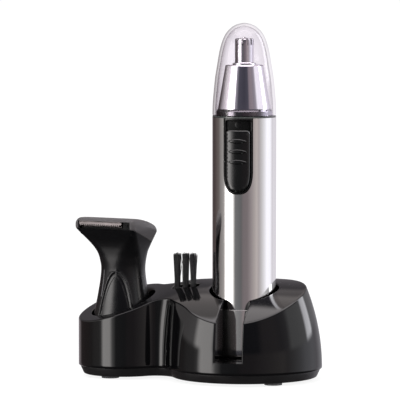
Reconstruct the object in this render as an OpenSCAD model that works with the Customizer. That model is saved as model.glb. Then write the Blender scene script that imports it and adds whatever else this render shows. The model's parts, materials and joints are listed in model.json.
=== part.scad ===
// Battery nose hair trimmer with its two-lobed stand, clear cap, clip-on
// trimming head and cleaning brush. Millimetres, +Z up, floor at z = 0.
// The trimmer stands in the large lobe at +X, the spare head in the small
// lobe at -X and the brush between them. The switch faces -Y, the front.

/* [Stand] */
// radius of the large lobe at its foot
big_r = 31.9; // [31:0.1:33]
// radius of the small lobe
small_r = 18.4; // [18:0.1:19]
// distance between the two lobe axes
pitch = 50.8; // [50.5:0.1:52]
// wall thickness of the moulded shell
wall = 2.2; // [1.8:0.1:2.4]
// radius of the hole the trimmer stands in
cup_r = 14.2; // [13.8:0.1:14.6]
// width of the front slot
slot_w = 11; // [8:0.5:12]

/* [Trimmer] */
// outside radius of the steel sleeve
sleeve_r = 13; // [12.9:0.05:13.1]
// thickness of the steel sleeve
sleeve_t = 0.6; // [0.4:0.1:0.6]
// width of the switch plate
bezel_w = 12; // [11.6:0.1:12]
// number of slots round the cutter tube
cutter_slots = 12; // [8:1:16]
// outer radius of the clear cap at its rim
cap_r = 12.95; // [12.9:0.01:13.1]

/* [Trimming head] */
// angle the spare head is turned in its socket
head_turn = 17.4; // [0:0.1:20]
// pitch of the comb teeth
tooth_pitch = 1.2; // [1:0.1:1.6]

/* [Hidden] */
$fn = 64;

// axes in plan; the stand is centred on x = 0
trimmer_x = (small_r + pitch - big_r) / 2;
lobe_x = trimmer_x - pitch;
brush_x = trimmer_x - 25.2;
brush_y = 3.6;

// levels shared between sections
seam_z = 4.5;          // joint between stand base and shell
well_z = 9.5;          // floor of the trimmer well
socket_z = 12;         // floor of the small socket and the brush slot
sleeve_bottom = 29.2;
sleeve_top = 106.8;
neck_z = 107.4;        // top of the dark neck ring

thirds = [0:120:240];
sixths = [0:60:300];

// ---------- shared shapes ----------
module at_trimmer() translate([trimmer_x, 0, 0]) children();
module at_lobe() translate([lobe_x, 0, 0]) children();
module at_head() at_lobe() rotate([0, 0, -head_turn]) children();
module ring(angles) for (a = angles) rotate([0, 0, a]) children();
module pair(x) for (s = [-1, 1]) translate([s * x, 0, 0]) children();

module rod(r, z0, z1) translate([0, 0, z0]) cylinder(r = r, h = z1 - z0);
// rod along Y, running forward from y
module pin(r, y, z, length) translate([0, y, z]) rotate([90, 0, 0]) cylinder(r = r, h = length);
module tube(outer, inner, z0, z1) difference() {
  rod(outer, z0, z1);
  rod(inner, z0 - 1, z1 + 1);
}
// box centred on x = 0
module bar(size, y, z) translate([-size[0] / 2, y, z]) cube(size);
// box centred on y = 0
module fin(size, x, z) translate([x, -size[1] / 2, z]) cube(size);

// helical wire spring
module coil(start_r, end_r, wire_r, z0, z1, turns) {
  per_turn = 20;
  sides = 8;
  steps = turns * per_turn;
  points = [for (i = [0:steps]) for (j = [0:sides-1])
    let (t = i / steps, turn = 360 * turns * t, around = 360 * j / sides,
      r = start_r + (end_r - start_r) * t + wire_r * cos(around))
    [r * cos(turn), r * sin(turn), z0 + (z1 - z0) * t + wire_r * sin(around)]];
  skin = [for (i = [0:steps-1]) for (j = [0:sides-1])
    let (a = i * sides + j, b = i * sides + (j + 1) % sides)
    each [[a, b, a + sides], [b, b + sides, a + sides]]];
  ends = [[for (j = [sides-1:-1:0]) j], [for (j = [0:sides-1]) steps * sides + j]];
  polyhedron(points, concat(skin, ends));
}

// ---------- stand ----------
side_arc_r = 88;       // inward curve of the large lobe's side
top_arc_r = 94.3;      // barrel of the upper face
barrel_y = 20;
barrel_top = 39.1;
form_h = 36;
waist_fillet = 5;
liner_t = 1.8;         // wall round the well and front slot
floor_t = 2;
brush_slot = [11, 4.5];
brush_wall = 1.5;
screw_circle = 23.5;   // radius of the three screws in the large lobe
base_z = 1;            // underside of the base
foot_r = 3.6;
foot_h = 1.8;
// waist fillet centres: distance from the trimmer axis along -X, and offset in Y
fillet_dx = (pitch * pitch + pow(big_r + waist_fillet, 2) - pow(small_r + waist_fillet, 2))
  / (2 * pitch);
fillet_y = sqrt(pow(big_r + waist_fillet, 2) - fillet_dx * fillet_dx);

function lobe_side_r(h) = big_r - side_arc_r + sqrt(side_arc_r * side_arc_r - h * h);

// plan of the waist between the lobes
module waist_2d(inset) difference() {
  half_y = fillet_y * 0.88 - inset;
  translate([trimmer_x - fillet_dx - 4.5, -half_y]) square([14.5, 2 * half_y]);
  for (s = [-1, 1])
    translate([trimmer_x - fillet_dx, s * fillet_y]) circle(r = waist_fillet + inset);
}
module plan_2d(inset) {
  translate([trimmer_x, 0]) circle(r = big_r - inset);
  translate([lobe_x, 0]) circle(r = small_r - inset);
  waist_2d(inset);
}
// outside of the stand moved inward by inset
module stand_form(inset = 0) difference() {
  union() {
    translate([trimmer_x, 0, seam_z]) rotate_extrude($fn = 96) polygon(concat(
      [[0, -inset]],
      [for (h = [0:4:form_h]) [lobe_side_r(h) - inset, h == 0 ? -inset : h]],
      [[0, form_h]]));
    translate([lobe_x, 0, seam_z - inset])
      cylinder(r = small_r - inset, h = form_h + inset, $fn = 96);
    translate([0, 0, seam_z - inset]) linear_extrude(form_h + inset) waist_2d(inset);
  }
  // upper face: a wide barrel over both lobes and a slope down to the small one
  difference() {
    translate([-100, -100, 10]) cube([200, 200, 60]);
    translate([-110, barrel_y, barrel_top - top_arc_r]) rotate([0, 90, 0])
      cylinder(r = top_arc_r - inset, h = 220, $fn = 180);
  }
  translate([trimmer_x, 0, 45.5 - inset * 1.1]) rotate([13.3, 0, 0]) rotate([0, -16.2, 0])
    translate([-120, -120, 0]) cube([240, 240, 60]);
}
module at_big_screws() for (a = thirds)
  translate([trimmer_x + screw_circle * cos(a), screw_circle * sin(a), 0]) children();
module at_screws() {
  at_big_screws() children();
  at_lobe() children();
}
module at_feet() for (s = [-1, 1]) {
  translate([trimmer_x + 16.1, s * 19.2, 0]) children();
  translate([lobe_x - 3, s * 10, 0]) children();
}
// upright box of the brush slot grown by margin
module brush_box(margin, z)
  translate([brush_x - brush_slot[0] / 2 - margin, brush_y - brush_slot[1] / 2 - margin, z])
    cube([brush_slot[0] + 2 * margin, brush_slot[1] + 2 * margin, 50]);

module stand_shell() color([0.02, 0.02, 0.022]) difference() {
  union() {
    difference() {
      stand_form();
      stand_form(wall);
    }
    // liners, bosses and ribs, trimmed to the outside
    intersection() {
      stand_form(0.01);
      union() {
        at_trimmer() {
          rod(cup_r + liner_t, well_z - floor_t, 60);
          bar([slot_w + 2 * liner_t, big_r - 12, 50], -big_r, well_z - floor_t);
          ring(thirds) fin([8, 1.6, 18.4], 24, seam_z + 1.6);
        }
        at_lobe() {
          rod(14.8, socket_z - floor_t, 60);
          rod(3.4, seam_z, socket_z - 1);
        }
        brush_box(brush_wall, socket_z - brush_wall);
        at_big_screws() rod(3.2, seam_z, 26);
      }
    }
  }
  at_trimmer() {
    rod(cup_r, well_z, 60);
    bar([slot_w, big_r + 5, 50], -big_r - 5, well_z);
  }
  // small socket, round a hollow post
  at_lobe() {
    difference() {
      rod(13, socket_z, 60);
      rod(8.2, 0, 21);
    }
    rod(5, socket_z, 60);
  }
  brush_box(0, socket_z);
  at_screws() rod(1.15, seam_z - 1, 9.4);
}
module stand_base() color([0.05, 0.05, 0.055]) difference() {
  union() {
    translate([0, 0, base_z]) {
      at_trimmer() cylinder(r1 = big_r - 2.2, r2 = big_r - 0.5, h = seam_z - base_z);
      at_lobe() cylinder(r1 = small_r - 2.1, r2 = small_r - 0.4, h = seam_z - base_z);
      linear_extrude(seam_z - base_z) waist_2d(1.2);
    }
    // locating rim inside the shell
    translate([0, 0, seam_z]) linear_extrude(1.3) difference() {
      plan_2d(wall + 0.15);
      plan_2d(wall + 1.6);
    }
  }
  at_screws() {
    rod(1.4, 0, 8);
    rod(2.6, 0, 2.8);
  }
  at_feet() rod(foot_r + 0.05, 0, foot_h);
  at_lobe() rod(3.5, seam_z, 12);
}
module rubber_feet() color([0.09, 0.09, 0.09]) at_feet() rod(foot_r, 0, foot_h);
module stand_screws() color([0.7, 0.7, 0.72]) at_screws() difference() {
  union() {
    rod(2.5, 1.3, 2.8);
    rod(1.1, 2.8, 8.8);
  }
  // cross recess
  bar([3.2, 0.5, 0.9], -0.25, 1);
  bar([0.5, 3.2, 0.9], -1.6, 1);
}

// ---------- battery cap and battery ----------
cap_floor = well_z + 1.2;      // inside floor of the end cap
insert_floor = well_z + 2.8;
seal_z = 31.9;
can_z0 = 17.8;                 // ends of the battery's wide body
can_z1 = 66.5;
nub_top = 67.9;                // tip of the battery's upper terminal

module end_cap() color([0.78, 0.78, 0.78]) at_trimmer() rotate_extrude($fn = 96) polygon([
  [0, well_z], [sleeve_r - 1.2, well_z], [sleeve_r - 0.4, well_z + 0.25],
  [sleeve_r, well_z + 1], [sleeve_r, sleeve_bottom - 0.15], [sleeve_r - 0.15, sleeve_bottom],
  [sleeve_r - 0.8, sleeve_bottom], [sleeve_r - 0.8, cap_floor], [0, cap_floor]]);
module end_cap_insert() color([0.1, 0.1, 0.11]) at_trimmer() difference() {
  union() {
    rod(12.2, cap_floor, sleeve_bottom);
    rod(12.3, sleeve_bottom, 34.6);
  }
  rod(10.9, insert_floor, 22);
  rod(7.75, 20, 40);
  // seal groove
  translate([0, 0, seal_z - 0.7]) difference() {
    rod(14, 0, 1.4);
    rod(11.2, -1, 3);
  }
  ring(sixths) fin([2, 4, 20], 8.6, 24);
  rod(1.2, well_z + 1.3, well_z + 3.5);
}
module battery_spring() color([0.75, 0.73, 0.68]) at_trimmer() {
  rod(4.8, insert_floor, well_z + 3.2);
  coil(4.4, 3.2, 0.42, well_z + 3.5, 16.9, 4.25);
}
module cap_seal() color([0.12, 0.12, 0.12]) at_trimmer()
  translate([0, 0, seal_z]) rotate_extrude() translate([11.78, 0]) circle(r = 0.57, $fn = 24);
module battery() color([0.7, 0.45, 0.15]) at_trimmer() {
  rod(4.9, 17.35, can_z0);
  rod(7.2, can_z0, can_z1);
  rod(2.7, can_z1, nub_top);
}

// ---------- handpiece ----------
notch_z = 76;                  // bottom of the sleeve's switch opening
notch_gap = 0.1;               // clearance between sleeve and switch plate
u_power = 0.714;               // squareness of the opening's bottom; 1 is an ellipse
flange_r = 12.35;              // chassis flanges inside the sleeve
flange_t = 2;
battery_bore = 7.6;
motor_bore = 8.7;
motor_seat = 69.4;             // bottom of the chassis motor tube
motor_seat_top = 97;
contact_y = -9.55;             // back of the positive contact's upright strip is 0.3 behind
motor_r = 8.6;
motor_z = 73;                  // bottom edge of the motor can
motor_inner_r = 8.05;
shaft_r = 1;

// U-shaped prism of the switch opening, from y0 at the front to y1
module u_prism(w, z0, z1, y0 = -16, y1 = 0)
  translate([0, y1, 0]) rotate([90, 0, 0]) linear_extrude(y1 - y0) polygon(concat(
    [[w/2, z1], [-w/2, z1]],
    [for (t = [180:7.5:360]) let (c = cos(t))
      [w/2 * sign(c) * pow(abs(c), u_power),
        z0 + 0.88 * w * (1 - pow(max(0, -sin(t)), u_power))]]));

module outer_sleeve() color([0.8, 0.8, 0.8]) at_trimmer() difference() {
  tube(sleeve_r, sleeve_r - sleeve_t, sleeve_bottom, sleeve_top);
  u_prism(bezel_w + 2 * notch_gap, notch_z, 120);
}
module inner_chassis() color([0.13, 0.13, 0.14]) at_trimmer() difference() {
  union() {
    tube(9, battery_bore, 36.5, 66.4);
    for (z = [36.5, 64.4]) tube(flange_r, battery_bore, z, z + flange_t);
    tube(flange_r, motor_bore, motor_seat, motor_seat + flange_t);
    tube(9.9, motor_bore, motor_seat, motor_seat_top);
    tube(flange_r, 5, motor_seat_top, motor_seat_top + flange_t);
    ring(sixths) fin([4.4, 1.2, 29], 7.8, 37);
    ring([30, 150, 210, 330]) fin([3.3, 1.4, 31], 8.9, 66.4);
  }
  rod(battery_bore, 30, 66.6);
  // room for the switch
  u_prism(12.6, 75, 120, -16, -9.4);
  intersection() {
    tube(16, 10.5, 74, 120);
    u_prism(12.6, 75, 120);
  }
  // channels for the back strip and the front contact
  bar([3.8, 8, 39], 6, 30);
  bar([4.4, 5, 24.4], -14, 60);
}
module neck_ring() color([0.06, 0.06, 0.07]) at_trimmer() difference() {
  union() {
    rod(12.95, sleeve_top, neck_z);
    rod(12.3, 100.5, sleeve_top);
  }
  rod(10.2, 99, sleeve_top - 3);
  rod(8.05, 99, 110);
  bar([12.4, 7.5, sleeve_top - 99], -16, 99);
}
module switch_bezel() color([0.03, 0.03, 0.035]) at_trimmer() difference() {
  intersection() {
    tube(sleeve_r + 0.05, 10.6, 70, sleeve_top);
    u_prism(bezel_w, notch_z + notch_gap, sleeve_top);
  }
  // recess the button slides in
  intersection() {
    tube(16, 12.15, 70, 120);
    u_prism(10.9, 76.95, 105.95);
  }
  bar([3.2, 6, 12], -14, 84);
  // shallow round mark in the recess above the button
  intersection() {
    tube(13, 12.05, 100, 110);
    pin(1.3, -10, 104.1, 5);
  }
}
module switch_button() color([0.05, 0.05, 0.055]) at_trimmer() {
  difference() {
    intersection() {
      tube(13.75, 12.2, 76, 103);
      union() {
        u_prism(10.7, 77.05, 100.3);
        bar([8.3, 16, 2], -16, 100);
        pair(3.55) pin(1.8, 0, 100.2, 16);
      }
    }
    // finger hollow
    intersection() {
      tube(15, 13.5, 70, 110);
      u_prism(8.6, 78.2, 87);
    }
  }
  // grip ridges
  for (z = [89.2, 93.4, 97.6]) intersection() {
    tube(14.15, 13.3, 80, 103);
    translate([0, -16, z]) rotate([-90, 0, 0]) linear_extrude(6) {
      translate([-2.6, -0.75]) square([5.2, 1.5]);
      pair(2.6) circle(r = 0.75);
    }
  }
  // stem behind the button
  bar([2.8, 2.8, 6], -12.6, 85);
}
module switch_contact() color([0.8, 0.6, 0.35]) at_trimmer() bar([6.4, 0.251, 7.2], -9.8, 84.4);
module positive_contact() color([0.85, 0.83, 0.78]) at_trimmer() {
  rod(4, nub_top, nub_top + 0.4);
  bar([2.4, 9, 0.4], contact_y, nub_top);
  bar([2.4, 0.3, 16], contact_y, nub_top);
}
module contact_strip() color([0.85, 0.83, 0.78]) at_trimmer() {
  bar([3.2, 0.3, 33], 9.1, 35.2);
  bar([3.2, 1.5, 0.3], 7.85, 35.2);
}
module motor_can() color([0.72, 0.72, 0.72]) at_trimmer() difference() {
  union() {
    rod(motor_r, motor_z, 96.6);
    rod(3, 96.6, 98.2);
  }
  rod(8.1, 72, 96);
  rod(1.6, 90, 100);
}
// four magnets, parted by crossed gaps
module motor_magnets() color([0.2, 0.2, 0.22]) at_trimmer() difference() {
  tube(motor_inner_r, 6.6, 77, 94);
  ring([0, 90]) bar([2.8, 20, 20], -10, 76);
}
module motor_end_bell() color([0.85, 0.85, 0.82]) at_trimmer() difference() {
  union() {
    rod(motor_inner_r, motor_z, 74.6);
    rod(motor_r, 72, motor_z);
    rod(2.6, 71, 76);
  }
  rod(shaft_r + 0.05, 72, 80);
  pair(6) bar([2.6, 0.6, 10], -0.3, 70);
}
module motor_terminals() color([0.85, 0.7, 0.4]) at_trimmer()
  pair(6) bar([2.4, 0.4, 5.6], -0.2, 69.6);
module motor_rotor() color([0.5, 0.32, 0.2]) at_trimmer() difference() {
  union() {
    // three arms, each ending in a curved shoe
    ring(thirds) {
      fin([5.2, 2.6, 13], 0, 79);
      intersection() {
        tube(6.2, 5, 79, 92);
        rotate([0, 0, -40]) rotate_extrude(angle = 80) translate([0, 79]) square([7, 13]);
      }
    }
    rod(2.4, 76.6, 92.4);
  }
  rod(shaft_r, 70, 100);
}
module motor_shaft() color([0.8, 0.8, 0.82]) at_trimmer() rod(shaft_r, 72.4, 101.5);
module drive_coupling() color([0.9, 0.9, 0.88]) at_trimmer() difference() {
  union() {
    rod(3, 99.4, 102.4);
    pair(2.2) bar([1.2, 1.4, 2.8], -0.7, 102);
  }
  rod(shaft_r, 98, 101.5);
}

// ---------- rotary head ----------
ring_top = 109.3;              // top of the head ring
cone_top = 128;
guard_r = 3.75;
spindle_r = 1;                 // blade shaft
dome_top = 145.1;              // top of the clear cap
cap_inner_r = 11.75;           // inside radius of the clear cap at its rim

module head_ring() color([0.08, 0.08, 0.09]) at_trimmer() difference() {
  union() {
    rod(8, 103.6, neck_z);
    rod(11.1, neck_z, ring_top);
  }
  rod(5.6, 103, 110);
  ring(thirds) fin([2, 2, 2], 7.4, 103);
}
module head_cone() color([0.86, 0.86, 0.88]) at_trimmer() difference() {
  // [radius, z] round the section: up the outside, then down the inside
  rotate_extrude($fn = 96) polygon([
    [11.15, neck_z], [11.25, neck_z], [11.4, neck_z + 0.15], [11.4, ring_top],
    [11.25, 109.6], [10.8, 109.8], [7.5, 127.6], [7.1, cone_top], [4.1, cone_top],
    [4.1, 126.8], [6.3, 126.8], [9.2, 113.4], [1.05, 113.4], [1.05, 111.8],
    [9.5, 111.8], [9.9, 109.35], [11.15, 109.35]]);
  ring([45:90:315]) translate([5, 0, 0]) rod(1.6, 110, 115);
}
module cutter_guard() color([0.84, 0.84, 0.86]) at_trimmer() difference() {
  union() {
    rod(guard_r, 125.8, 138.7);
    rod(3.5, 138.7, 139);
    // flanges above and below the cone's top plate
    tube(4.75, 3.6, cone_top, 128.7);
    tube(4.9, 3.6, 126.1, 126.8);
  }
  rod(3.4, 125, 138.5);
  rod(spindle_r + 0.05, 138, 141);
  for (i = [0:cutter_slots-1]) rotate([0, 0, i * 360 / cutter_slots]) fin([3, 0.6, 6], 2.1, 135.9);
}
module rotary_blade() color([0.75, 0.75, 0.77]) at_trimmer() difference() {
  union() {
    rod(2, 129.5, 133);
    ring([0, 60, 120]) intersection() {
      bar([6.6, 0.6, 5.3], -0.3, 133);
      rod(3.3, 133, 140);
    }
    rod(3, 132.4, 133.4);
  }
  rod(spindle_r, 120, 141);
}
module blade_shaft() color([0.7, 0.7, 0.72]) at_trimmer() {
  rod(spindle_r, 104.2, 139.2);
  rod(2, 127.2, cone_top);
  bar([1.4, 6.8, 1.2], -3.4, 103);
}
module retaining_clip() color([0.3, 0.3, 0.32]) at_trimmer() difference() {
  tube(2.6, spindle_r, 110.9, 111.5);
  fin([4, 1.6, 3], 0, 110);
}
module blade_spring() color([0.75, 0.75, 0.75]) at_trimmer()
  coil(1.85, 1.85, 0.28, 113.75, 126.8, 6.5);

// one side of the cap section, with points crowded towards the top
function dome_side(rim_r, top, steps) = [for (i = steps) let (u = 1 - pow(1 - i / 30, 2))
  [(rim_r - 4.75 * pow(u, 1.5)) * sqrt(1 - pow(u, 10)),
    neck_z + 0.1 + (top - neck_z - 0.1) * u]];
module clear_cap() color([0.85, 0.92, 0.95, 0.35]) at_trimmer()
  rotate_extrude($fn = 96) polygon(concat(
    [[cap_inner_r, neck_z], [cap_r - 0.1, neck_z]],
    dome_side(cap_r, dome_top, [0:30]),
    dome_side(cap_inner_r, dome_top - 1.3, [30:-1:3])));

// ---------- spare trimming head, drawn about its own axis ----------
front_y = -15.3;
rim_z = 60;                    // where the flare meets the upright top
head_wall = 1.4;
pivot_z = 47;                  // lever pin
neck_r = 9.1;                  // narrow top of the bell
foot_bell_r = 12.4;
arch_z = 33;                   // centre of the arch's round top

// four corner posts of a rounded slab, moved inward by inset
module corners(half_w, front, back, z, h, r, inset)
  for (x = [-half_w + inset + r, half_w - inset - r])
    for (y = [front + inset + r, back - inset - r])
      translate([x, y, z]) cylinder(r = r, h = h, $fn = 32);
module flare_middle(inset) corners(11.2, -11.4, 7.6, 53, 0.1, 3, inset);
module flare_rim(h, inset) corners(14, front_y, 4.6, rim_z, h, 2, inset);
module head_flare(inset = 0) {
  hull() {
    translate([0, 0, 46]) cylinder(r = 9.3 - inset, h = 0.1, $fn = 32);
    flare_middle(inset);
  }
  hull() {
    flare_middle(inset);
    flare_rim(0.1, inset);
  }
}
module head_top(inset = 0) hull() {
  flare_rim(4 - inset, inset);
  corners(13.2, -14.3, 3.6, 64.9 - inset, 0.1, 2, inset);
}
// everything above the seam between body and cover
module above_seam(up = 0) translate([0, front_y, 61.2 + up]) rotate([-17.5, 0, 0])
  translate([-30, -20, 0]) cube([60, 60, 30]);
// radius of the bell from 13 above its foot; it reaches neck_r at 32
function bell_r(h) =
  neck_r + (foot_bell_r - neck_r) * pow(cos((min(h, 32) - 13) / 19 * 90), 1.5);
module arch_2d(r, foot_z) {
  translate([0, arch_z]) circle(r = r);
  translate([-r, foot_z]) square([2 * r, arch_z - foot_z]);
}

module attachment_body() color([0.03, 0.03, 0.035]) at_head() difference() {
  union() {
    translate([0, 0, socket_z]) rotate_extrude() polygon(concat(
      [[8.6, 0], [foot_bell_r, 0]],
      [for (i = [0:14]) let (h = 13 + i * 1.4) [bell_r(h), h]],
      [[neck_r, 34.4], [7.7, 34.4], [7.7, 24], [1.55, 24], [1.55, 22], [8.6, 22]]));
    difference() {
      head_flare();
      head_flare(head_wall);
    }
    // front lip
    bar([28, 2.2, 1.3], front_y, rim_z);
    // blocks that hold the lever pin
    for (s = [-1, 1]) bar([5.2, 6, 5.2], s * 5.2 - 3, 44.4);
    // raised arch on the front
    rotate([0, 0, 13]) intersection() {
      tube(12, 9, 24, 46);
      rotate([90, 0, 0]) linear_extrude(20) difference() {
        arch_2d(7.4, 10);
        arch_2d(6.2, 9);
      }
    }
  }
  difference() {
    above_seam();
    bar([24, 7.2, 11.3], -20, 50);
  }
  pin(1, 20, pivot_z, 40);
  bar([8, 4.2, 12], -2.1, 40);
  rod(7.2, 36, 45);
}
module attachment_cover() color([0.16, 0.16, 0.17]) at_head() difference() {
  union() {
    difference() {
      union() {
        head_flare();
        head_top();
      }
      union() {
        head_flare(head_wall);
        head_top(head_wall);
      }
    }
    pair(10.4) bar([2.8, 3, 6], -6, 58);
  }
  // everything below the seam
  difference() {
    bar([80, 80, 60], -40, 30);
    above_seam(0.1);
  }
  // blade window and the seat behind it
  bar([25.2, 7, 14.4], -20, 50);
  bar([25.4, 10, 3.1], -16, 61.25);
}

// gaps between comb teeth, numbered -last to last
module tooth_gaps(last, depth, height, y, z) for (i = [-last:last])
  translate([i * tooth_pitch, 0, 0]) bar([0.54, depth, height], y, z);
module fixed_blade() color([0.72, 0.68, 0.68]) at_head() difference() {
  union() {
    translate([-12.2, -15.1, 61.9]) cube([20.3, 1.6, 2.4]);
    translate([-12.2, -15.1, 63.75]) cube([20.3, 8.6, 0.55]);
  }
  tooth_gaps(9, 2.3, 2.4, -16, 61);
}
module moving_blade() color([0.66, 0.66, 0.68]) at_head() difference() {
  union() {
    translate([-10.8, -13.45, 62]) cube([18.1, 0.8, 1.7]);
    bar([19, 6, 0.6], -13.45, 63.1);
  }
  tooth_gaps(8, 1.9, 1.4, -15, 61.5);
  bar([2, 2.4, 4], -12.6, 61);
}
module lever_pin() color([0.75, 0.75, 0.77]) at_head() pin(1, 7.4, pivot_z, 14.8);
module blade_clamp() color([0.8, 0.8, 0.8]) at_head() {
  bar([17.2, 1.4, 0.35], -9.2, 62.7);
  pair(7.4) {
    bar([2.4, 8, 0.35], -9.2, 62.7);
    bar([2.4, 0.35, 4.4], -1.55, 58.6);
  }
  pair(7.6) bar([2.8, 3, 0.35], -4.2, 58.6);
}
module drive_lever() color([0.88, 0.88, 0.85]) at_head() difference() {
  union() {
    pin(2.1, 1.8, pivot_z, 3.6);
    // upright, forward arm and the peg at its end
    bar([2.2, 2.4, 12], -1.2, pivot_z);
    bar([2.2, 13.2, 1.8], -12, 57.2);
    translate([0, -11.1, 0]) rod(0.85, 58, 63.6);
    // fork below the pin
    bar([6.6, 2, 3], -1, 43.2);
    pair(2.75) bar([1.1, 2, 6], -1, 37.8);
  }
  pin(1.05, 5, pivot_z, 10);
}
module eccentric_shaft() color([0.9, 0.9, 0.88]) at_head() {
  rod(1.5, 15, 37.4);
  rod(2.6, 32.6, 33.8);
  rod(2.4, 36.2, 37.4);
  translate([0.6, 0, 0]) rod(0.8, 37.4, 41.5);
  bar([1.4, 6.8, 1.6], -3.4, 15);
}

// ---------- cleaning brush ----------
handle_top = 36.3;
handle_end_r = 1.95;
tuft_r = 0.8;
tuft_root = handle_top - 4;

module at_tufts() for (x = [-3.2, 0, 3.2]) for (y = [-1, 1])
  translate([brush_x + x, brush_y + y, 0]) children();
module brush_handle() color([0.04, 0.04, 0.045]) difference() {
  translate([brush_x, brush_y, 0]) {
    bar([6.6, 2 * handle_end_r, handle_top - socket_z], -handle_end_r, socket_z);
    pair(3.3) rod(handle_end_r, socket_z, handle_top);
  }
  at_tufts() rod(tuft_r, tuft_root, 40);
}
module brush_tufts() color([0.02, 0.02, 0.02]) at_tufts() {
  rod(tuft_r, tuft_root, handle_top);
  translate([0, 0, handle_top]) cylinder(r1 = tuft_r, r2 = 0.95, h = 14.4, $fn = 24);
}

stand_shell();
stand_base();
rubber_feet();
stand_screws();
end_cap();
end_cap_insert();
battery_spring();
cap_seal();
battery();
outer_sleeve();
inner_chassis();
neck_ring();
switch_bezel();
positive_contact();
contact_strip();
motor_can();
motor_magnets();
motor_end_bell();
motor_terminals();
switch_button();
switch_contact();
motor_rotor();
motor_shaft();
drive_coupling();
head_ring();
head_cone();
cutter_guard();
rotary_blade();
blade_shaft();
retaining_clip();
blade_spring();
clear_cap();
attachment_body();
attachment_cover();
fixed_blade();
lever_pin();
blade_clamp();
moving_blade();
drive_lever();
eccentric_shaft();
brush_handle();
brush_tufts();
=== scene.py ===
"""A rotary trimmer in its charging stand, with a spare trimming head and a small brush.

+Z is up and the stand's feet are near z = 0. The stand is long in X: the trimmer stands in the
large lobe at +X, the spare head over the small lobe at -X and the brush between them. The
trimmer's switch and the stand's slot face the front, -Y. Sizes are in millimetres up to make(),
which turns them into metres; lights, camera and floor are in metres.
"""
import json
import math

import bmesh
import bpy
import numpy as np
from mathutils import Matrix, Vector
from mathutils.geometry import delaunay_2d_cdt


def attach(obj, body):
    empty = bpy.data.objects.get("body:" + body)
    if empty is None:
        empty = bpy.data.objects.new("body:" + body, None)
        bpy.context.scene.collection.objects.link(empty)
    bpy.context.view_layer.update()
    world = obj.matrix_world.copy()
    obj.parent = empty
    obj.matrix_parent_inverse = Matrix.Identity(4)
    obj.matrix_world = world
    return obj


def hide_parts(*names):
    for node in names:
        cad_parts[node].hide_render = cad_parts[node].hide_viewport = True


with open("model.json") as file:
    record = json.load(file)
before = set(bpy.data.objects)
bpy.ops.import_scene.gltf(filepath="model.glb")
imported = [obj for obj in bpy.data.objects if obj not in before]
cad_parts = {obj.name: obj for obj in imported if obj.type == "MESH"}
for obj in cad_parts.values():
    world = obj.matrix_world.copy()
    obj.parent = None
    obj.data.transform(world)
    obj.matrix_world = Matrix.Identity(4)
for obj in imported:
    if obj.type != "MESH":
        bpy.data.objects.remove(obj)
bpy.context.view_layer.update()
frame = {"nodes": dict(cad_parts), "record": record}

MM = 0.001
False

# ------------------------------------------------------------------ main sizes (mm)
LOBE_R = 31.9  # large lobe of the stand, round the trimmer
SMALL_R = 18.4  # small lobe, round the spare head
PITCH = 50.8  # between the axes of the two lobes
WAIST_R = 5.0  # fillets between the lobes
TRIMMER_X = (SMALL_R + PITCH - LOBE_R) / 2  # the stand is centred on x = 0
SPARE_X = TRIMMER_X - PITCH
BRUSH_X, BRUSH_Y = TRIMMER_X - 25.2, 3.6
SEAM_Z = 4.5  # between base plate and shell
WELL_Z, WELL_R = 9.5, 14.2  # well for the trimmer
SOCKET_Z, SOCKET_R = 12.0, 13.0  # socket for the spare head
SLOT_HALF = 5.5  # half width of the slot in front of the well
SPARE_TURN = -math.radians(17.4)  # turn of the spare head about its axis

MATERIALS = {}


# ------------------------------------------------------------------ mesh tools
def make(name, verts, faces, sharp=35.0, merge=0.004, body=None, replaces=None, slot=None,
         material=None):
    """Makes an object from millimetre points; its material is the slot's unless one is named."""
    mesh = bpy.data.meshes.new(name)
    points = [tuple(float(c) * MM for c in v) for v in verts]
    mesh.from_pydata(points, [], [tuple(int(i) for i in f) for f in faces])
    bm = bmesh.new()
    bm.from_mesh(mesh)
    if merge:
        bmesh.ops.remove_doubles(bm, verts=bm.verts, dist=merge * MM)
    bmesh.ops.dissolve_degenerate(bm, dist=1e-8, edges=bm.edges)
    bmesh.ops.recalc_face_normals(bm, faces=bm.faces)
    bm.to_mesh(mesh)
    bm.free()
    mesh.shade_smooth()
    mesh.set_sharp_from_angle(angle=math.radians(sharp))
    ob = bpy.data.objects.new(name, mesh)
    bpy.context.scene.collection.objects.link(ob)
    if slot:
        mesh.materials.append(MATERIALS[material or slot])
    if body:
        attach(ob, body)
    if replaces:
        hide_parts(replaces)
    return ob


class Soup:
    """Collects patches of faces that make() merges by distance."""

    def __init__(self):
        self.verts, self.faces = [], []

    def grid(self, points, close_rows=False, close_columns=False):
        """Quads over rows and columns of points, optionally closed either way."""
        points = np.asarray(points, float)
        rows, cols = points.shape[:2]
        first = len(self.verts)
        self.verts.extend(points.reshape(-1, 3).tolist())
        for i in range(rows if close_rows else rows - 1):
            for j in range(cols if close_columns else cols - 1):
                here, there = first + i * cols, first + (i + 1) % rows * cols
                k = (j + 1) % cols
                self.faces.append((here + j, there + j, there + k, here + k))

    def rod(self, rings):
        """A tube through the rings, closed at both ends."""
        self.grid(rings, close_columns=True)
        for end in (0, -1):
            first = len(self.verts)
            self.verts.extend(rings[end].tolist())
            self.faces.append(tuple(range(first, first + len(rings[end]))))

    def sheet(self, loops, step, place):
        """Triangles between 2-D loops, put in space by place(u, v)."""
        flat, triangles = fill(loops, step)
        first = len(self.verts)
        self.verts.extend([list(place(u, v)) for u, v in flat])
        self.faces.extend([tuple(first + i for i in t) for t in triangles])

    def level(self, loops, z, step=0):
        """A horizontal sheet."""
        self.sheet(loops, step, lambda x, y: (x, y, z))

    def make(self, name, **options):
        return make(name, self.verts, self.faces, **options)


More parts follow.
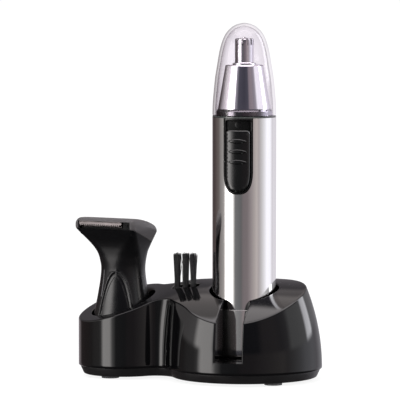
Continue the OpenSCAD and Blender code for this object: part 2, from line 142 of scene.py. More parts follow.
def inside(points, loops):
    """Even-odd test of points against closed loops."""
    points = np.asarray(points, float)
    result = np.zeros(len(points), bool)
    for loop in loops:
        starts = np.asarray(loop, float)
        ends = np.roll(starts, -1, axis=0)
        for (x0, y0), (x1, y1) in zip(starts, ends):
            if y0 == y1:
                continue
            spans = (points[:, 1] > min(y0, y1)) & (points[:, 1] <= max(y0, y1))
            x = x0 + (points[:, 1] - y0) / (y1 - y0) * (x1 - x0)
            result ^= spans & (points[:, 0] < x)
    return result


def near(points, loops, reach):
    """Whether each point lies within a square reach of a loop's points."""
    result = np.zeros(len(points), bool)
    for p in np.vstack(loops):
        result |= (np.abs(points[:, 0] - p[0]) < reach) & (np.abs(points[:, 1] - p[1]) < reach)
    return result


def fill(loops, step):
    """Triangulates inside the first loop and outside the others, with inner points every step."""
    points = np.vstack([np.asarray(loop, float) for loop in loops])
    edges, first = [], 0
    for loop in loops:
        count = len(loop)
        edges += [(first + i, first + (i + 1) % count) for i in range(count)]
        first += count
    if step:
        low, high = points.min(0), points.max(0)
        xs, ys = np.arange(low[0], high[0], step), np.arange(low[1], high[1], step * 0.866)
        x, y = np.meshgrid(xs, ys, indexing="ij")
        x = x + (np.arange(x.shape[1]) % 2)[None, :] * step / 2
        inner = np.stack([x.ravel(), y.ravel()], 1)
        inner = inner[inside(inner, loops)]
        inner = inner[~near(inner, loops, step * 0.55)]
        points = np.vstack([points, inner])
    result = delaunay_2d_cdt([Vector(p.tolist()) for p in points], edges, [], 0, 1e-7)
    flat = np.array([(v.x, v.y) for v in result[0]])
    triangles = [tuple(t) for t in result[2] if len(t) == 3]
    middles = np.array([flat[list(t)].mean(0) for t in triangles])
    return flat, [t for t, keep in zip(triangles, inside(middles, loops)) if keep]


def arc(centre, r, start, end, count, endpoint=True):
    """Points on an arc between two angles in degrees."""
    t = np.radians(np.linspace(start, end, count, endpoint=endpoint))
    return np.stack([centre[0] + r * np.cos(t), centre[1] + r * np.sin(t)], 1)


def rounded(points, radii, segments=5):
    """A closed polygon with its corners rounded, by one radius or one for each corner."""
    out = []
    for i in range(len(points)):
        corner = np.array(points[i], float)
        r = radii[i] if isinstance(radii, list) else radii
        a = np.array(points[i - 1], float) - corner
        b = np.array(points[(i + 1) % len(points)], float) - corner
        len_a, len_b = np.linalg.norm(a), np.linalg.norm(b)
        a, b = a / len_a, b / len_b
        angle = math.acos(max(-1, min(1, float(a @ b))))
        if r <= 0 or math.pi - angle < 0.04:
            out.append(corner)
            continue
        cut = min(r / math.tan(angle / 2), 0.49 * len_a, 0.49 * len_b)
        fitted = cut * math.tan(angle / 2)
        centre = corner + (a + b) / np.linalg.norm(a + b) * (fitted / math.sin(angle / 2))
        start, end = corner + a * cut - centre, corner + b * cut - centre
        turn = math.pi - angle
        for k in range(segments + 1):
            t = k / segments
            mixed = math.sin((1 - t) * turn) * start + math.sin(t * turn) * end
            out.append(centre + mixed / math.sin(turn))
    return np.array(out)


def dense(loop, step):
    """Splits a closed loop's edges so that none is longer than step."""
    loop = np.asarray(loop, float)
    out = []
    for a, b in zip(loop, np.roll(loop, -1, axis=0)):
        count = max(1, int(math.ceil(np.linalg.norm(b - a) / step)))
        for j in range(count):
            out.append(a + (b - a) * j / count)
    return np.array(out)


def rounded_box(x0, x1, y0, y1, r, segments, step):
    """A rounded rectangle, counter-clockwise."""
    return dense(rounded([(x0, y0), (x1, y0), (x1, y1), (x0, y1)], r, segments), step)


def normals_left(loop):
    """Unit normals to the left of travel: inward on a counter-clockwise loop."""
    t = np.roll(loop, -1, axis=0) - np.roll(loop, 1, axis=0)
    t /= np.maximum(np.linalg.norm(t, axis=1, keepdims=True), 1e-9)
    return np.stack([-t[:, 1], t[:, 0]], 1)


def at_height(loop, z):
    """A 2-D loop with its height, one value or one for each point."""
    return np.column_stack([loop, np.full(len(loop), z)])


def turned(profile, angles):
    """A profile of (radius, z) placed round the trimmer's axis at each angle."""
    profile = np.asarray(profile, float)
    r, z = profile[:, 0], profile[:, 1]
    x, y = TRIMMER_X + np.outer(np.cos(angles), r), np.outer(np.sin(angles), r)
    return np.stack([x, y, np.tile(z, (len(angles), 1))], 2)


def full_turn(count):
    return np.linspace(0, 2 * math.pi, count, endpoint=False)


def revolve(name, profile, **options):
    """A closed profile of (radius, z) turned about the trimmer's axis."""
    soup = Soup()
    soup.grid(turned(profile, full_turn(200)), close_rows=True, close_columns=True)
    return soup.make(name, **options)


def plate(name, loops, edge, depth, place, step=1.0, segments=3, spacing=0.5, chamfer=0.0,
          **options):
    """A plate whose front edges are eased by edge, from round (chamfer 0) to flat (chamfer 1).

    Loops are in (u, v); place(u, v, d) gives the point d above the plate's face.
    """
    soup = Soup()
    loops = [dense(loop, spacing) for loop in loops]
    tops = []
    for loop in loops:
        normals = normals_left(loop)
        rows = []
        for q in range(segments + 1):
            phase = math.pi / 2 * (1 - q / segments)
            inset, drop = edge * (1 - math.sin(phase)), edge * (1 - math.cos(phase))
            inset = inset * (1 - chamfer) + chamfer * edge * q / segments
            drop = drop * (1 - chamfer) + chamfer * edge * (1 - q / segments)
            rows.append([place(u, v, -drop) for u, v in loop + normals * inset])
        rows.reverse()
        wall_rows = max(1, int(depth / 1.5))
        for q in range(1, wall_rows + 1):
            d = -edge - (depth - edge) * q / wall_rows
            rows.append([place(u, v, d) for u, v in loop])
        soup.grid(rows, close_columns=True)
        tops.append(loop + normals * edge)
    soup.sheet(tops, step, lambda u, v: place(u, v, 0.0))
    soup.sheet(loops, step * 1.5, lambda u, v: place(u, v, -depth))
    return soup.make(name, **options)


def bevel(ob, width, segments=2, angle=35, name="bevel"):
    """Adds a bevel modifier; width in millimetres, angle in degrees."""
    modifier = ob.modifiers.new(name, "BEVEL")
    modifier.width = width * MM
    modifier.segments = segments
    modifier.limit_method = "ANGLE"
    modifier.angle_limit = math.radians(angle)
    modifier.harden_normals = True


# ------------------------------------------------------------------ shader tools
def node(tree, kind, inputs=None, **settings):
    """Adds a shader node; inputs gives sockets a value or an output to link from."""
    made = tree.nodes.new("ShaderNode" + kind)
    for setting, value in settings.items():
        setattr(made, setting, value)
    for socket, source in (inputs or {}).items():
        if isinstance(source, bpy.types.NodeSocket):
            tree.links.new(source, made.inputs[socket])
        else:
            made.inputs[socket].default_value = source
    return made


def map_range(tree, value, start, end, low=0.0, high=1.0, **settings):
    """Maps start..end to low..high."""
    inputs = {"Value": value, "From Min": start, "From Max": end, "To Min": low, "To Max": high}
    return node(tree, "MapRange", inputs, **settings).outputs[0]


def calculate(tree, operation, first, second, clamp=False):
    inputs = {0: first, 1: second}
    return node(tree, "Math", inputs, operation=operation, use_clamp=clamp).outputs[0]


def blend(tree, first, second, factor):
    """Mixes two colours, each an (r, g, b) or an output."""
    inputs = {"Factor": factor}
    for socket, colour in (("A", first), ("B", second)):
        inputs[socket] = (*colour, 1) if isinstance(colour, tuple) else colour
    return node(tree, "Mix", inputs, data_type="RGBA").outputs["Result"]


def mix_shaders(tree, factor, first, second):
    return node(tree, "MixShader", {0: factor, 1: first, 2: second}).outputs[0]


def object_point(tree):
    return node(tree, "TexCoord").outputs["Object"]


def component(tree, vector, axis):
    """One component of a vector: axis 0, 1 or 2."""
    return node(tree, "SeparateXYZ", {0: vector}).outputs[axis]


def noise(tree, point, scale, detail=2.0):
    inputs = {"Vector": point, "Scale": scale, "Detail": detail}
    return node(tree, "TexNoise", inputs).outputs[0]


def bump_normal(tree, height, strength):
    inputs = {"Strength": strength, "Distance": 0.0002, "Height": height}
    return node(tree, "Bump", inputs).outputs[0]


def sideways(tree, point, start, end):
    """0 to 1 between two distances (mm) to the camera's right of the trimmer's axis; the mask for
    painted light on that side.
    """
    right = (0.978, 0.208, 0)
    dot = node(tree, "VectorMath", {0: point, 1: right}, operation="DOT_PRODUCT")
    axis = TRIMMER_X * right[0]
    return map_range(tree, dot.outputs["Value"], (axis + start) * MM, (axis + end) * MM)


def new_material(name):
    """An empty node material, kept in MATERIALS; gives its tree."""
    material = bpy.data.materials.new(name)
    material.use_nodes = True
    material.node_tree.nodes.clear()
    MATERIALS[name] = material
    return material.node_tree


def finish(name, colour, second=None, *, rough=0.4, rough_vary=0.06, metal=0.0, patch=120.0,
           bump=0.02, grain=900.0, stretch=(1, 1, 1), coat=0.0, spec=0.5,
           edge_highlight=0.0, edge_highlight_colour=None, edge_highlight_top=None, dust=0.0):
    """A finish with two tones in patches, patchy roughness and a fine bump.

    patch and grain are noise scales, stretch scales both along x, y, z. The three edge options
    paint a
    highlight: how much the convex edges take its colour, only below its height (mm) if given;
    dust lies on upward faces.
    """
    tree = new_material(name)
    point = object_point(tree)
    stretched = node(tree, "Mapping", {"Vector": point, "Scale": stretch}).outputs[0]
    patches = noise(tree, stretched, patch, detail=4)
    grains = noise(tree, stretched, grain, detail=3)
    second = second or tuple(min(1, c * 1.25 + 0.004) for c in colour)
    shade = blend(tree, colour, second, patches)
    # painted highlight: convex edges, found by pointiness, take a lighter colour
    if edge_highlight:
        convex = node(tree, "NewGeometry").outputs["Pointiness"]
        amount = map_range(tree, convex, 0.53, 0.62, high=edge_highlight)
        if edge_highlight_top:
            height = component(tree, point, 2)
            below = map_range(tree, height, edge_highlight_top * MM, (edge_highlight_top + 1) * MM, 1.0, 0.0)
            amount = calculate(tree, "MULTIPLY", below, amount)
        shade = blend(tree, shade, edge_highlight_colour, amount)
    if dust:
        upward = component(tree, node(tree, "NewGeometry").outputs["Normal"], 2)
        settled = map_range(tree, upward, 0.5, 1.0, high=dust)
        amount = calculate(tree, "MULTIPLY", settled, grains)
        shade = blend(tree, shade, (0.35, 0.34, 0.33), amount)
    rough_range = max(0.0, rough - rough_vary), rough + rough_vary
    shader = node(tree, "BsdfPrincipled", {
        "Base Color": shade,
        "Roughness": map_range(tree, patches, 0.3, 0.7, *rough_range),
        "Normal": bump_normal(tree, grains, bump),
        "Metallic": metal,
        "Coat Weight": coat,
        "Specular IOR Level": spec,
    })
    node(tree, "OutputMaterial", {0: shader.outputs[0]})
    return MATERIALS[name]


def clear_plastic():
    """Clear plastic as a thin wall: faint tint, darker towards grazing, weak sharp reflection;
    the grazing tint holds painted shade at the left and painted light to the right and near the
    top.
    """
    tree = new_material("clear_plastic")
    point = object_point(tree)
    ripple = noise(tree, point, 140)
    facing = node(tree, "LayerWeight", {"Blend": 0.5}).outputs["Facing"]

    def grazing(exponent, amount):
        power = calculate(tree, "POWER", facing, exponent)
        return calculate(tree, "MULTIPLY", power, amount)

    # painted light and shade: the edge tint is dark grey at the left and paler to the right and
    # near the top (z in metres)
    painted_light_near_top = map_range(tree, component(tree, point, 2), 0.136, 0.144, high=0.35)
    pale = calculate(tree, "ADD", sideways(tree, point, -13, 13), painted_light_near_top, clamp=True)
    edge = blend(tree, (0.34, 0.31, 0.315), (0.88, 0.86, 0.89), pale)
    tint = blend(tree, (0.952, 0.936, 0.956), edge, grazing(exponent=2.8, amount=1.0))
    through = node(tree, "BsdfTransparent", {"Color": tint})
    mirror = node(tree, "BsdfGlossy", {
        "Color": (1, 1, 1, 1),
        "Roughness": map_range(tree, ripple, 0.0, 1.0, 0.03, 0.07),
        "Normal": bump_normal(tree, ripple, 0.01),
    })
    # reflection only on faces turned to the eye, and only for the eye itself
    camera_ray = node(tree, "LightPath").outputs["Is Camera Ray"]
    backfacing = node(tree, "NewGeometry").outputs["Backfacing"]
    seen = calculate(tree, "SUBTRACT", camera_ray, backfacing, clamp=True)
    strength = calculate(tree, "ADD", grazing(exponent=3.4, amount=0.62), 0.018)
    factor = calculate(tree, "MULTIPLY", strength, seen)
    surface = mix_shaders(tree, factor, through.outputs[0], mirror.outputs[0])
    node(tree, "OutputMaterial", {0: surface})


def shader_of(material):
    """A finish's node tree and its principled shader."""
    tree = material.node_tree
    return tree, next(n for n in tree.nodes if n.type == "BSDF_PRINCIPLED")


def source(shader, socket):
    return shader.inputs[socket].links[0].from_socket


def darken_below(material, z, dark, painted_light_right):
    """Recolours a metal below a height: dark, and paler at the camera's right, where the paler
    colour is painted light.
    """
    tree, shader = shader_of(material)
    point = object_point(tree)
    above = map_range(tree, component(tree, point, 2), (z - 0.05) * MM, (z + 0.05) * MM)
    lower = blend(tree, dark, painted_light_right, sideways(tree, point, 6.5, 9.5))
    colour = blend(tree, lower, source(shader, "Base Color"), above)
    tree.links.new(colour, shader.inputs["Base Color"])


def dull_above(material, start_z, end_z, spec, extra_rough):
    """Takes the specular level to spec and adds roughness between two heights."""
    tree, shader = shader_of(material)
    z = component(tree, object_point(tree), 2)
    start, end = start_z * MM, end_z * MM
    level = shader.inputs["Specular IOR Level"]
    tree.links.new(map_range(tree, z, start, end, level.default_value, spec), level)
    extra = map_range(tree, z, start, end, 0.0, extra_rough)
    rough = calculate(tree, "ADD", source(shader, "Roughness"), extra)
    tree.links.new(rough, shader.inputs["Roughness"])


def lean_normals(material, start_x, start_turn, end_x, end_turn):
    """Turns the shading normal about +Z by degrees that run between two values of x (mm)."""
    tree, shader = shader_of(material)
    x = component(tree, object_point(tree), 0)
    angle = map_range(tree, x, start_x * MM, end_x * MM,
                      math.radians(start_turn), math.radians(end_turn))
    inputs = {"Vector": source(shader, "Normal"), "Angle": angle}
    leaning = node(tree, "VectorRotate", inputs, rotation_type="Z_AXIS")
    tree.links.new(leaning.outputs[0], shader.inputs["Normal"])


# ------------------------------------------------------------------ materials
def make_materials():
    finish("shell_black", (0.0018, 0.0018, 0.0021), (0.0028, 0.0027, 0.0031), rough=0.055,
           rough_vary=0.02, bump=0.004, grain=500, dust=0.004, spec=0.36)
    finish("base_black", (0.0055, 0.005, 0.0055), (0.009, 0.0085, 0.009), rough=0.42,
           rough_vary=0.08, bump=0.25, grain=3500, spec=0.35)
    finish("recess_black", (0.0014, 0.0016, 0.0016), (0.003, 0.0032, 0.0032), rough=0.55,
           rough_vary=0.08, bump=0.2, grain=3500, spec=0.12)
    finish("rubber_grey", (0.06, 0.06, 0.062), rough=0.75, bump=0.3, grain=3000)
    finish("zinc_screw", (0.55, 0.55, 0.54), rough=0.35, metal=1, bump=0.08, grain=2500)
    finish("polished_steel", (0.70, 0.69, 0.685), (0.76, 0.75, 0.745), rough=0.095,
           rough_vary=0.02, metal=1, bump=0.012, grain=700, stretch=(6, 6, 0.4), patch=90)
    # painted light: a paler, warmer, brighter copy of the polished steel for the end cap,
    # standing in for the light it catches in the slot
    finish("painted_light_steel", (0.95, 0.92, 0.90), (0.98, 0.95, 0.93), rough=0.1,
           rough_vary=0.02, metal=0.98, bump=0.02, grain=700, stretch=(6, 6, 0.4), patch=90)
    finish("black_plastic", (0.03, 0.03, 0.032), rough=0.45, bump=0.1, grain=2500)
    finish("spring_steel", (0.62, 0.60, 0.55), rough=0.25, metal=1, bump=0.05, grain=2500)
    finish("seal_rubber", (0.025, 0.025, 0.025), rough=0.6, bump=0.1, grain=3000)
    finish("battery_wrap", (0.55, 0.27, 0.06), (0.62, 0.33, 0.09), rough=0.3, bump=0.03,
           coat=0.3)
    finish("switch_black", (0.0015, 0.0016, 0.0017), (0.003, 0.003, 0.0033), rough=0.28,
           rough_vary=0.05, bump=0.03, grain=2600, spec=0.3)
    # painted highlight: the button's convex edges and ribs take a lighter colour
    finish("button_black", (0.0012, 0.0013, 0.0014), (0.0026, 0.0027, 0.0029), rough=0.18,
           rough_vary=0.04, bump=0.04, grain=4200, edge_highlight=0.3, edge_highlight_colour=(0.2, 0.22, 0.21),
           spec=0.5)
    finish("copper_alloy", (0.75, 0.45, 0.2), rough=0.3, metal=1, bump=0.05)
    finish("motor_steel", (0.56, 0.56, 0.56), rough=0.3, metal=1, bump=0.05, stretch=(1, 1, 8))
    finish("ferrite", (0.05, 0.05, 0.055), rough=0.7, bump=0.2, grain=2500)
    finish("rotor_mix", (0.42, 0.2, 0.1), (0.5, 0.28, 0.14), rough=0.35, metal=0.8, bump=0.15,
           stretch=(1, 1, 14), grain=1500)
    finish("white_plastic", (0.72, 0.71, 0.67), rough=0.4, bump=0.05)
    finish("chrome_head", (0.76, 0.76, 0.78), (0.80, 0.80, 0.82), rough=0.045,
           rough_vary=0.02, metal=1, bump=0.004, grain=500)
    finish("cutter_steel", (0.66, 0.66, 0.67), rough=0.16, rough_vary=0.05, metal=1,
           bump=0.03, grain=3000, stretch=(1, 1, 5))
    clear_plastic()
    # painted highlight: convex edges below 43.6 mm, the arch's ridges among them, take a lighter
    # colour
    finish("head_black", (0.0018, 0.0018, 0.0021), (0.0032, 0.0031, 0.0037), rough=0.26,
           rough_vary=0.04, bump=0.03, grain=3200, dust=0.004, spec=0.4, edge_highlight=0.8,
           edge_highlight_colour=(0.13, 0.125, 0.13), edge_highlight_top=43.6)
    finish("cover_grey", (0.050, 0.046, 0.048), (0.066, 0.060, 0.063), rough=0.5,
           rough_vary=0.06, bump=0.16, grain=5000, spec=0.45)
    finish("comb_steel", (0.13, 0.115, 0.115), (0.17, 0.155, 0.155), rough=0.5,
           rough_vary=0.06, metal=1, bump=0.06, grain=2500, stretch=(1, 6, 1))
    finish("bristle_black", (0.008, 0.008, 0.009), (0.02, 0.02, 0.022), rough=0.4, bump=0.0,
           grain=2500)
    # collar under the cone: darker, with painted light on its side to the camera's right
    darken_below(MATERIALS["chrome_head"], z=110.25, dark=(0.14, 0.135, 0.145),
                 painted_light_right=(0.5, 0.5, 0.53))
    dull_above(MATERIALS["head_black"], start_z=39.5, end_z=45.5, spec=0.24, extra_rough=0.14)
    shell = MATERIALS["shell_black"]
    lean_normals(shell, start_x=-24.0, start_turn=-5.0, end_x=-8.0, end_turn=0.0)
    lean_normals(shell, start_x=-8.0, start_turn=-3.0, end_x=1.0, end_turn=0.0)
    lean_normals(shell, start_x=28.0, start_turn=0.0, end_x=40.0, end_turn=-7.0)


make_materials()

# ------------------------------------------------------------------ stand
BARREL_R, BARREL_Z, BARREL_Y = 94.3, 39.1, 20  # upper face's barrel: radius, crest height and y
BULGE_R = 88.0  # side curve of the large lobe, in elevation
MOUTH_R, JOIN_R = 0.5, 0.35  # corners of the slot at the outer face and at the well
# fillet centres: distance along -X from the trimmer's axis, and +-Y
FILLET_X = (PITCH**2 + (LOBE_R + WAIST_R) ** 2 - (SMALL_R + WAIST_R) ** 2) / (2 * PITCH)
FILLET_Y = math.sqrt((LOBE_R + WAIST_R) ** 2 - FILLET_X**2)
OUTER_COUNTS = (150, 14, 150, 14, 60)  # points on each outer piece of the shell's outline
TOP_EDGE, HOLE_EDGE = 0.6, 0.7  # reach of the rolled edges on the upper face


def smoothstep(start, end, x):
    t = np.clip((x - start) / (end - start), 0, 1)
    return t * t * (3 - 2 * t)


def smooth_min(first, second, reach):
    h = np.clip(0.5 + 0.5 * (second - first) / reach, 0, 1)
    return second + (first - second) * h - reach * h * (1 - h)


def z_top(x, y):
    """Height of the stand's upper face: a wide barrel that slopes away over the small lobe."""
    across = np.clip(y - BARREL_Y, -60, 60)
    barrel = BARREL_Z - BARREL_R + np.sqrt(BARREL_R**2 - across**2)
    slope = 45.5 + 0.2986 * (x - TRIMMER_X) + 0.2364 * y
    return smooth_min(barrel, slope, 4.0)


def bulge(z):
    """How far the large lobe has drawn in at a height."""
    return BULGE_R - np.sqrt(BULGE_R**2 - np.clip(z - SEAM_Z, 0, 40) ** 2)


def shell_loop(z, across=False):
    """The shell's outline at a height, counter-clockwise from the slot's right side.

    The outer pieces are large lobe, fillet, small lobe, fillet, large lobe. Then the outline
    goes in round slot and well, or across the slot's mouth.
    """
    lobe_r = LOBE_R - bulge(z)
    draw_in = LOBE_R - lobe_r
    large_end = math.degrees(math.atan2(FILLET_Y, -FILLET_X))
    small_start = math.degrees(math.atan2(FILLET_Y, PITCH - FILLET_X))
    mouth = np.degrees(np.arcsin((SLOT_HALF + MOUTH_R) / (lobe_r - MOUTH_R)))

    def share(x):
        """Share of the draw-in, which fades out towards the waist."""
        return smoothstep(-34, -22, x)

    def lobe(start, end):
        def point(s):
            a = np.radians(start + (end - start) * s)
            r = LOBE_R - share(LOBE_R * np.cos(a)) * draw_in
            return [TRIMMER_X + r * math.cos(a), r * math.sin(a)]
        return point

    def fillet(side):
        x, y = TRIMMER_X - FILLET_X, side * FILLET_Y
        start, end = math.atan2(-y, TRIMMER_X - x), math.atan2(-y, SPARE_X - x)
        if side < 0:
            start, end = end, start
        sweep = (end - start + math.pi) % (2 * math.pi) - math.pi

        def point(s):
            a = start + sweep * s
            r = WAIST_R + share(x + WAIST_R * math.cos(a) - TRIMMER_X) * draw_in
            return [x + r * math.cos(a), y + r * math.sin(a)]
        return point

    def turn(x, y, r, start, sweep):
        def point(s):
            a = math.radians(start + sweep * s)
            return [x + r * math.cos(a), y + r * math.sin(a)]
        return point

    def straight(x, start, end):
        return lambda s: [x, start + (end - start) * s]

    outer = (
        lobe(-90 + mouth, large_end), fillet(1),
        turn(SPARE_X, 0, SMALL_R, small_start, 360 - 2 * small_start),
        fillet(-1), lobe(360 - large_end, 270 - mouth),
    )
    pieces = list(zip(OUTER_COUNTS, outer))
    if across:
        pieces.append((24, lobe(270 - mouth, 270 + mouth)))
    else:
        mouth_y = -math.sqrt((lobe_r - MOUTH_R) ** 2 - (SLOT_HALF + MOUTH_R) ** 2)
        join_y = -math.sqrt((WELL_R + JOIN_R) ** 2 - (SLOT_HALF + JOIN_R) ** 2)
        join = math.degrees(math.atan2(-join_y, SLOT_HALF + JOIN_R))
        left, right = TRIMMER_X - SLOT_HALF, TRIMMER_X + SLOT_HALF
        well_start = 180 + join
        pieces += [
            (8, turn(left - MOUTH_R, mouth_y, MOUTH_R, 270 - mouth, 360 - (270 - mouth))),
            (16, straight(left, mouth_y, join_y)),
            (7, turn(left - JOIN_R, join_y, JOIN_R, 0, join)),
            (96, turn(TRIMMER_X, 0, WELL_R, well_start, -join - well_start)),
            (7, turn(right + JOIN_R, join_y, JOIN_R, 180 - join, join)),
            (16, straight(right, join_y, mouth_y)),
            (8, turn(right + MOUTH_R, mouth_y, MOUTH_R, 180, 90 + mouth)),
        ]
    return np.array([point(s) for count, point in pieces
                     for s in np.linspace(0, 1, count, endpoint=False)])


def roll(wall, corner, top, count):
    """Rows of a rolled edge from wall to top, curving towards the corner."""
    return np.array([(1 - q) ** 2 * wall + 2 * q * (1 - q) * corner + q * q * top
                     for q in np.linspace(0, 1, count)])


def sink_hole(soup, loop):
    """A clockwise hole from the upper face to SOCKET_Z; gives the loop at its rolled rim."""
    z = z_top(loop[:, 0], loop[:, 1])
    rim = loop + normals_left(loop) * HOLE_EDGE
    top = at_height(rim, z_top(rim[:, 0], rim[:, 1]))
    wall = at_height(loop, z - HOLE_EDGE)
    soup.grid(roll(wall, at_height(loop, z), top, 7), close_columns=True)
    rows = [at_height(loop, SOCKET_Z + (z - HOLE_EDGE - SOCKET_Z) * q)
            for q in np.linspace(0, 1, 10)]
    soup.grid(rows, close_columns=True)
    return rim


def build_shell():
    soup = Soup()
    heights = np.linspace(SEAM_Z, 40.0, 143)
    table = np.array([shell_loop(z) for z in heights])  # heights x points x 2
    count = table.shape[1]
    index = np.arange(count)

    def outline(z):
        """The outline with a height for each point."""
        t = np.clip((z - SEAM_Z) / (heights[1] - heights[0]), 0, len(heights) - 1.001)
        i = np.floor(t).astype(int)
        f = (t - i)[:, None]
        return table[i, index] * (1 - f) + table[i + 1, index] * f

    # heights at which the wall meets the upper face
    z = np.full(count, 34.0)
    for _ in range(60):
        p = outline(z)
        z = 0.5 * z + 0.5 * z_top(p[:, 0], p[:, 1])
    corner = outline(z)
    rim = corner + normals_left(corner) * TOP_EDGE
    wall = at_height(outline(z - TOP_EDGE), z - TOP_EDGE)
    top = at_height(rim, z_top(rim[:, 0], rim[:, 1]))
    soup.grid(roll(wall, at_height(corner, z), top, 9), close_columns=True)
    rows = []
    for q in np.linspace(0, 1, 26):
        level = WELL_Z + (z - TOP_EDGE - WELL_Z) * q
        rows.append(at_height(outline(level), level))
    soup.grid(rows, close_columns=True)
    # underside and the band below the slot
    bottom = shell_loop(SEAM_Z, across=True)
    inset = bottom + normals_left(bottom) * 0.25
    rows = [at_height(inset, SEAM_Z)]
    for level in np.linspace(SEAM_Z + 0.25, WELL_Z, 5):
        rows.append(at_height(shell_loop(level, across=True), level))
    soup.grid(rows, close_columns=True)
    soup.level([inset], SEAM_Z)
    # floor of slot and well
    open_loop = shell_loop(WELL_Z)
    inlet = open_loop[sum(OUTER_COUNTS):]
    crossing = shell_loop(WELL_Z, across=True)[sum(OUTER_COUNTS):]
    floor = np.vstack([inlet, open_loop[:1], crossing[1:][::-1]])[::-1]
    soup.level([floor], WELL_Z, step=2.5)
    # round socket with a hollow post: profile of (radius, z) from the wall inwards
    centre = (SPARE_X, 0)
    holes = [sink_hole(soup, arc(centre, SOCKET_R, 0, -360, 120, endpoint=False))]
    post = [(SOCKET_R, SOCKET_Z), (8.3, SOCKET_Z), (8.3, 20.5), (7.8, 21), (5.2, 21),
            (5.0, 20.8), (5.0, SOCKET_Z), (0.001, SOCKET_Z)]
    soup.grid([at_height(arc(centre, r, 0, -360, 120, endpoint=False), level)
               for r, level in post], close_columns=True)
    # brush hole
    x0, x1, y0, y1 = BRUSH_X - 5.5, BRUSH_X + 5.5, BRUSH_Y - 2.25, BRUSH_Y + 2.25
    loop = dense(rounded([(x0, y0), (x0, y1), (x1, y1), (x1, y0)], 1.0, 6), 0.6)
    holes.append(sink_hole(soup, loop))
    soup.level([loop[::-1]], SOCKET_Z)
    soup.sheet([rim] + holes, 1.0, lambda x, y: (x, y, float(z_top(x, y))))
    soup.make("shell_body", body="stand", replaces="stand_shell", slot="shell_black", sharp=50)


def rounded_prism(soup, loop, profile):
    """A closed block on a loop; profile is (inset, z) from the bottom up."""
    normals = normals_left(loop)
    soup.grid([at_height(loop + normals * inset, z) for inset, z in profile],
              close_columns=True)
    for inset, z in (profile[0], profile[-1]):
        soup.level([loop + normals * inset], z)


def build_base():
    soup = Soup()
    profile = [(2.6, 1.0), (2.2, 1.15), (1.9, 1.6), (1.0, 3.6), (0.75, 4.2), (0.7, 4.45),
               (1.2, SEAM_Z)]
    rounded_prism(soup, shell_loop(SEAM_Z, across=True), profile)
    soup.make("base_plate", body="stand", replaces="stand_base", slot="base_black", sharp=50)


build_shell()
build_base()

# ------------------------------------------------------------------ handpiece
TUBE_R = 13.0
CAP_Z, TUBE_TOP = 29.2, 106.8  # sleeve's lower and upper ends
U_POWER = 2.8  # squareness of the U's bottom
U_DEPTH = 0.88  # height of the U's bottom for its width
BUTTON_R = 13.8


def on_tube(r):
    """Places u (arc length) and v (height) on the front of a tube about the trimmer's axis."""
    return lambda u, v, d: (
        TRIMMER_X + (r + d) * math.sin(u / r), -(r + d) * math.cos(u / r), v)


def build_sleeve():
    """Tube with a U-shaped opening at the front, an outer skin given thickness inward."""
    half = 6.1
    depth = 2 * half * U_DEPTH
    shoulder = 76.0 + depth  # where the U's bottom meets its straight sides

    def column(angle, levels):
        x, y = TRIMMER_X + TUBE_R * math.sin(angle), -TUBE_R * math.cos(angle)
        return [(x, y, z) for z in levels]

    soup = Soup()
    steps = np.linspace(0, 1, 40)
    below = np.arcsin(half * np.sin(np.linspace(-math.pi / 2, math.pi / 2, 61)) / TUBE_R)
    fall = np.maximum(0, 1 - np.abs(TUBE_R * np.sin(below) / half) ** U_POWER) ** (1 / U_POWER)
    soup.grid([column(angle, CAP_Z + (z - CAP_Z) * steps)
               for angle, z in zip(below, shoulder - depth * fall)])
    edge = math.asin(half / TUBE_R)
    levels = np.concatenate([CAP_Z + (shoulder - CAP_Z) * steps,
                             np.linspace(shoulder, TUBE_TOP, 12)[1:]])
    soup.grid([column(angle, levels) for angle in np.linspace(edge, 2 * math.pi - edge, 181)])
    ob = soup.make("steel_sleeve", body="handpiece", replaces="outer_sleeve",
                   slot="polished_steel", sharp=60)
    skin = ob.modifiers.new("thick", "SOLIDIFY")
    skin.thickness = 0.6 * MM
    skin.offset = -1
    skin.use_even_offset = True
    bevel(ob, 0.14, segments=3, angle=50)


def build_cap():
    """Closed cup below the sleeve, in a paler steel that carries painted light."""
    profile = rounded(
        [(0.001, 9.5), (11.9, 9.5), (TUBE_R, 10.6), (TUBE_R, CAP_Z), (12.25, CAP_Z),
         (12.25, 10.75), (0.001, 10.75)],
        [0, 0.8, 1.2, 0.18, 0.1, 0.2, 0])
    revolve("steel_cap", profile, body="battery_cap", replaces="end_cap",
            slot="polished_steel", material="painted_light_steel", sharp=40)


def u_loop(width, bottom, top, corner):
    """A U outline with rounded upper corners, counter-clockwise (+u right, +v up)."""
    half = width / 2
    t = np.radians(np.linspace(180, 360, 721))
    c, q = np.cos(t), -np.sin(t)
    fine = np.stack([
        half * np.sign(c) * np.abs(c) ** (2 / U_POWER),
        bottom + U_DEPTH * width * (1 - np.clip(q, 0, 1) ** (2 / U_POWER)),
    ], 1)
    run = np.concatenate([[0], np.cumsum(np.linalg.norm(np.diff(fine, axis=0), axis=1))])
    even = np.linspace(0, run[-1], 80)
    curve = np.stack([np.interp(even, run, fine[:, 0]), np.interp(even, run, fine[:, 1])], 1)
    return np.vstack([
        curve,
        arc((half - corner, top - corner), corner, 0, 90, 7),
        arc((-half + corner, top - corner), corner, 90, 180, 7),
    ])


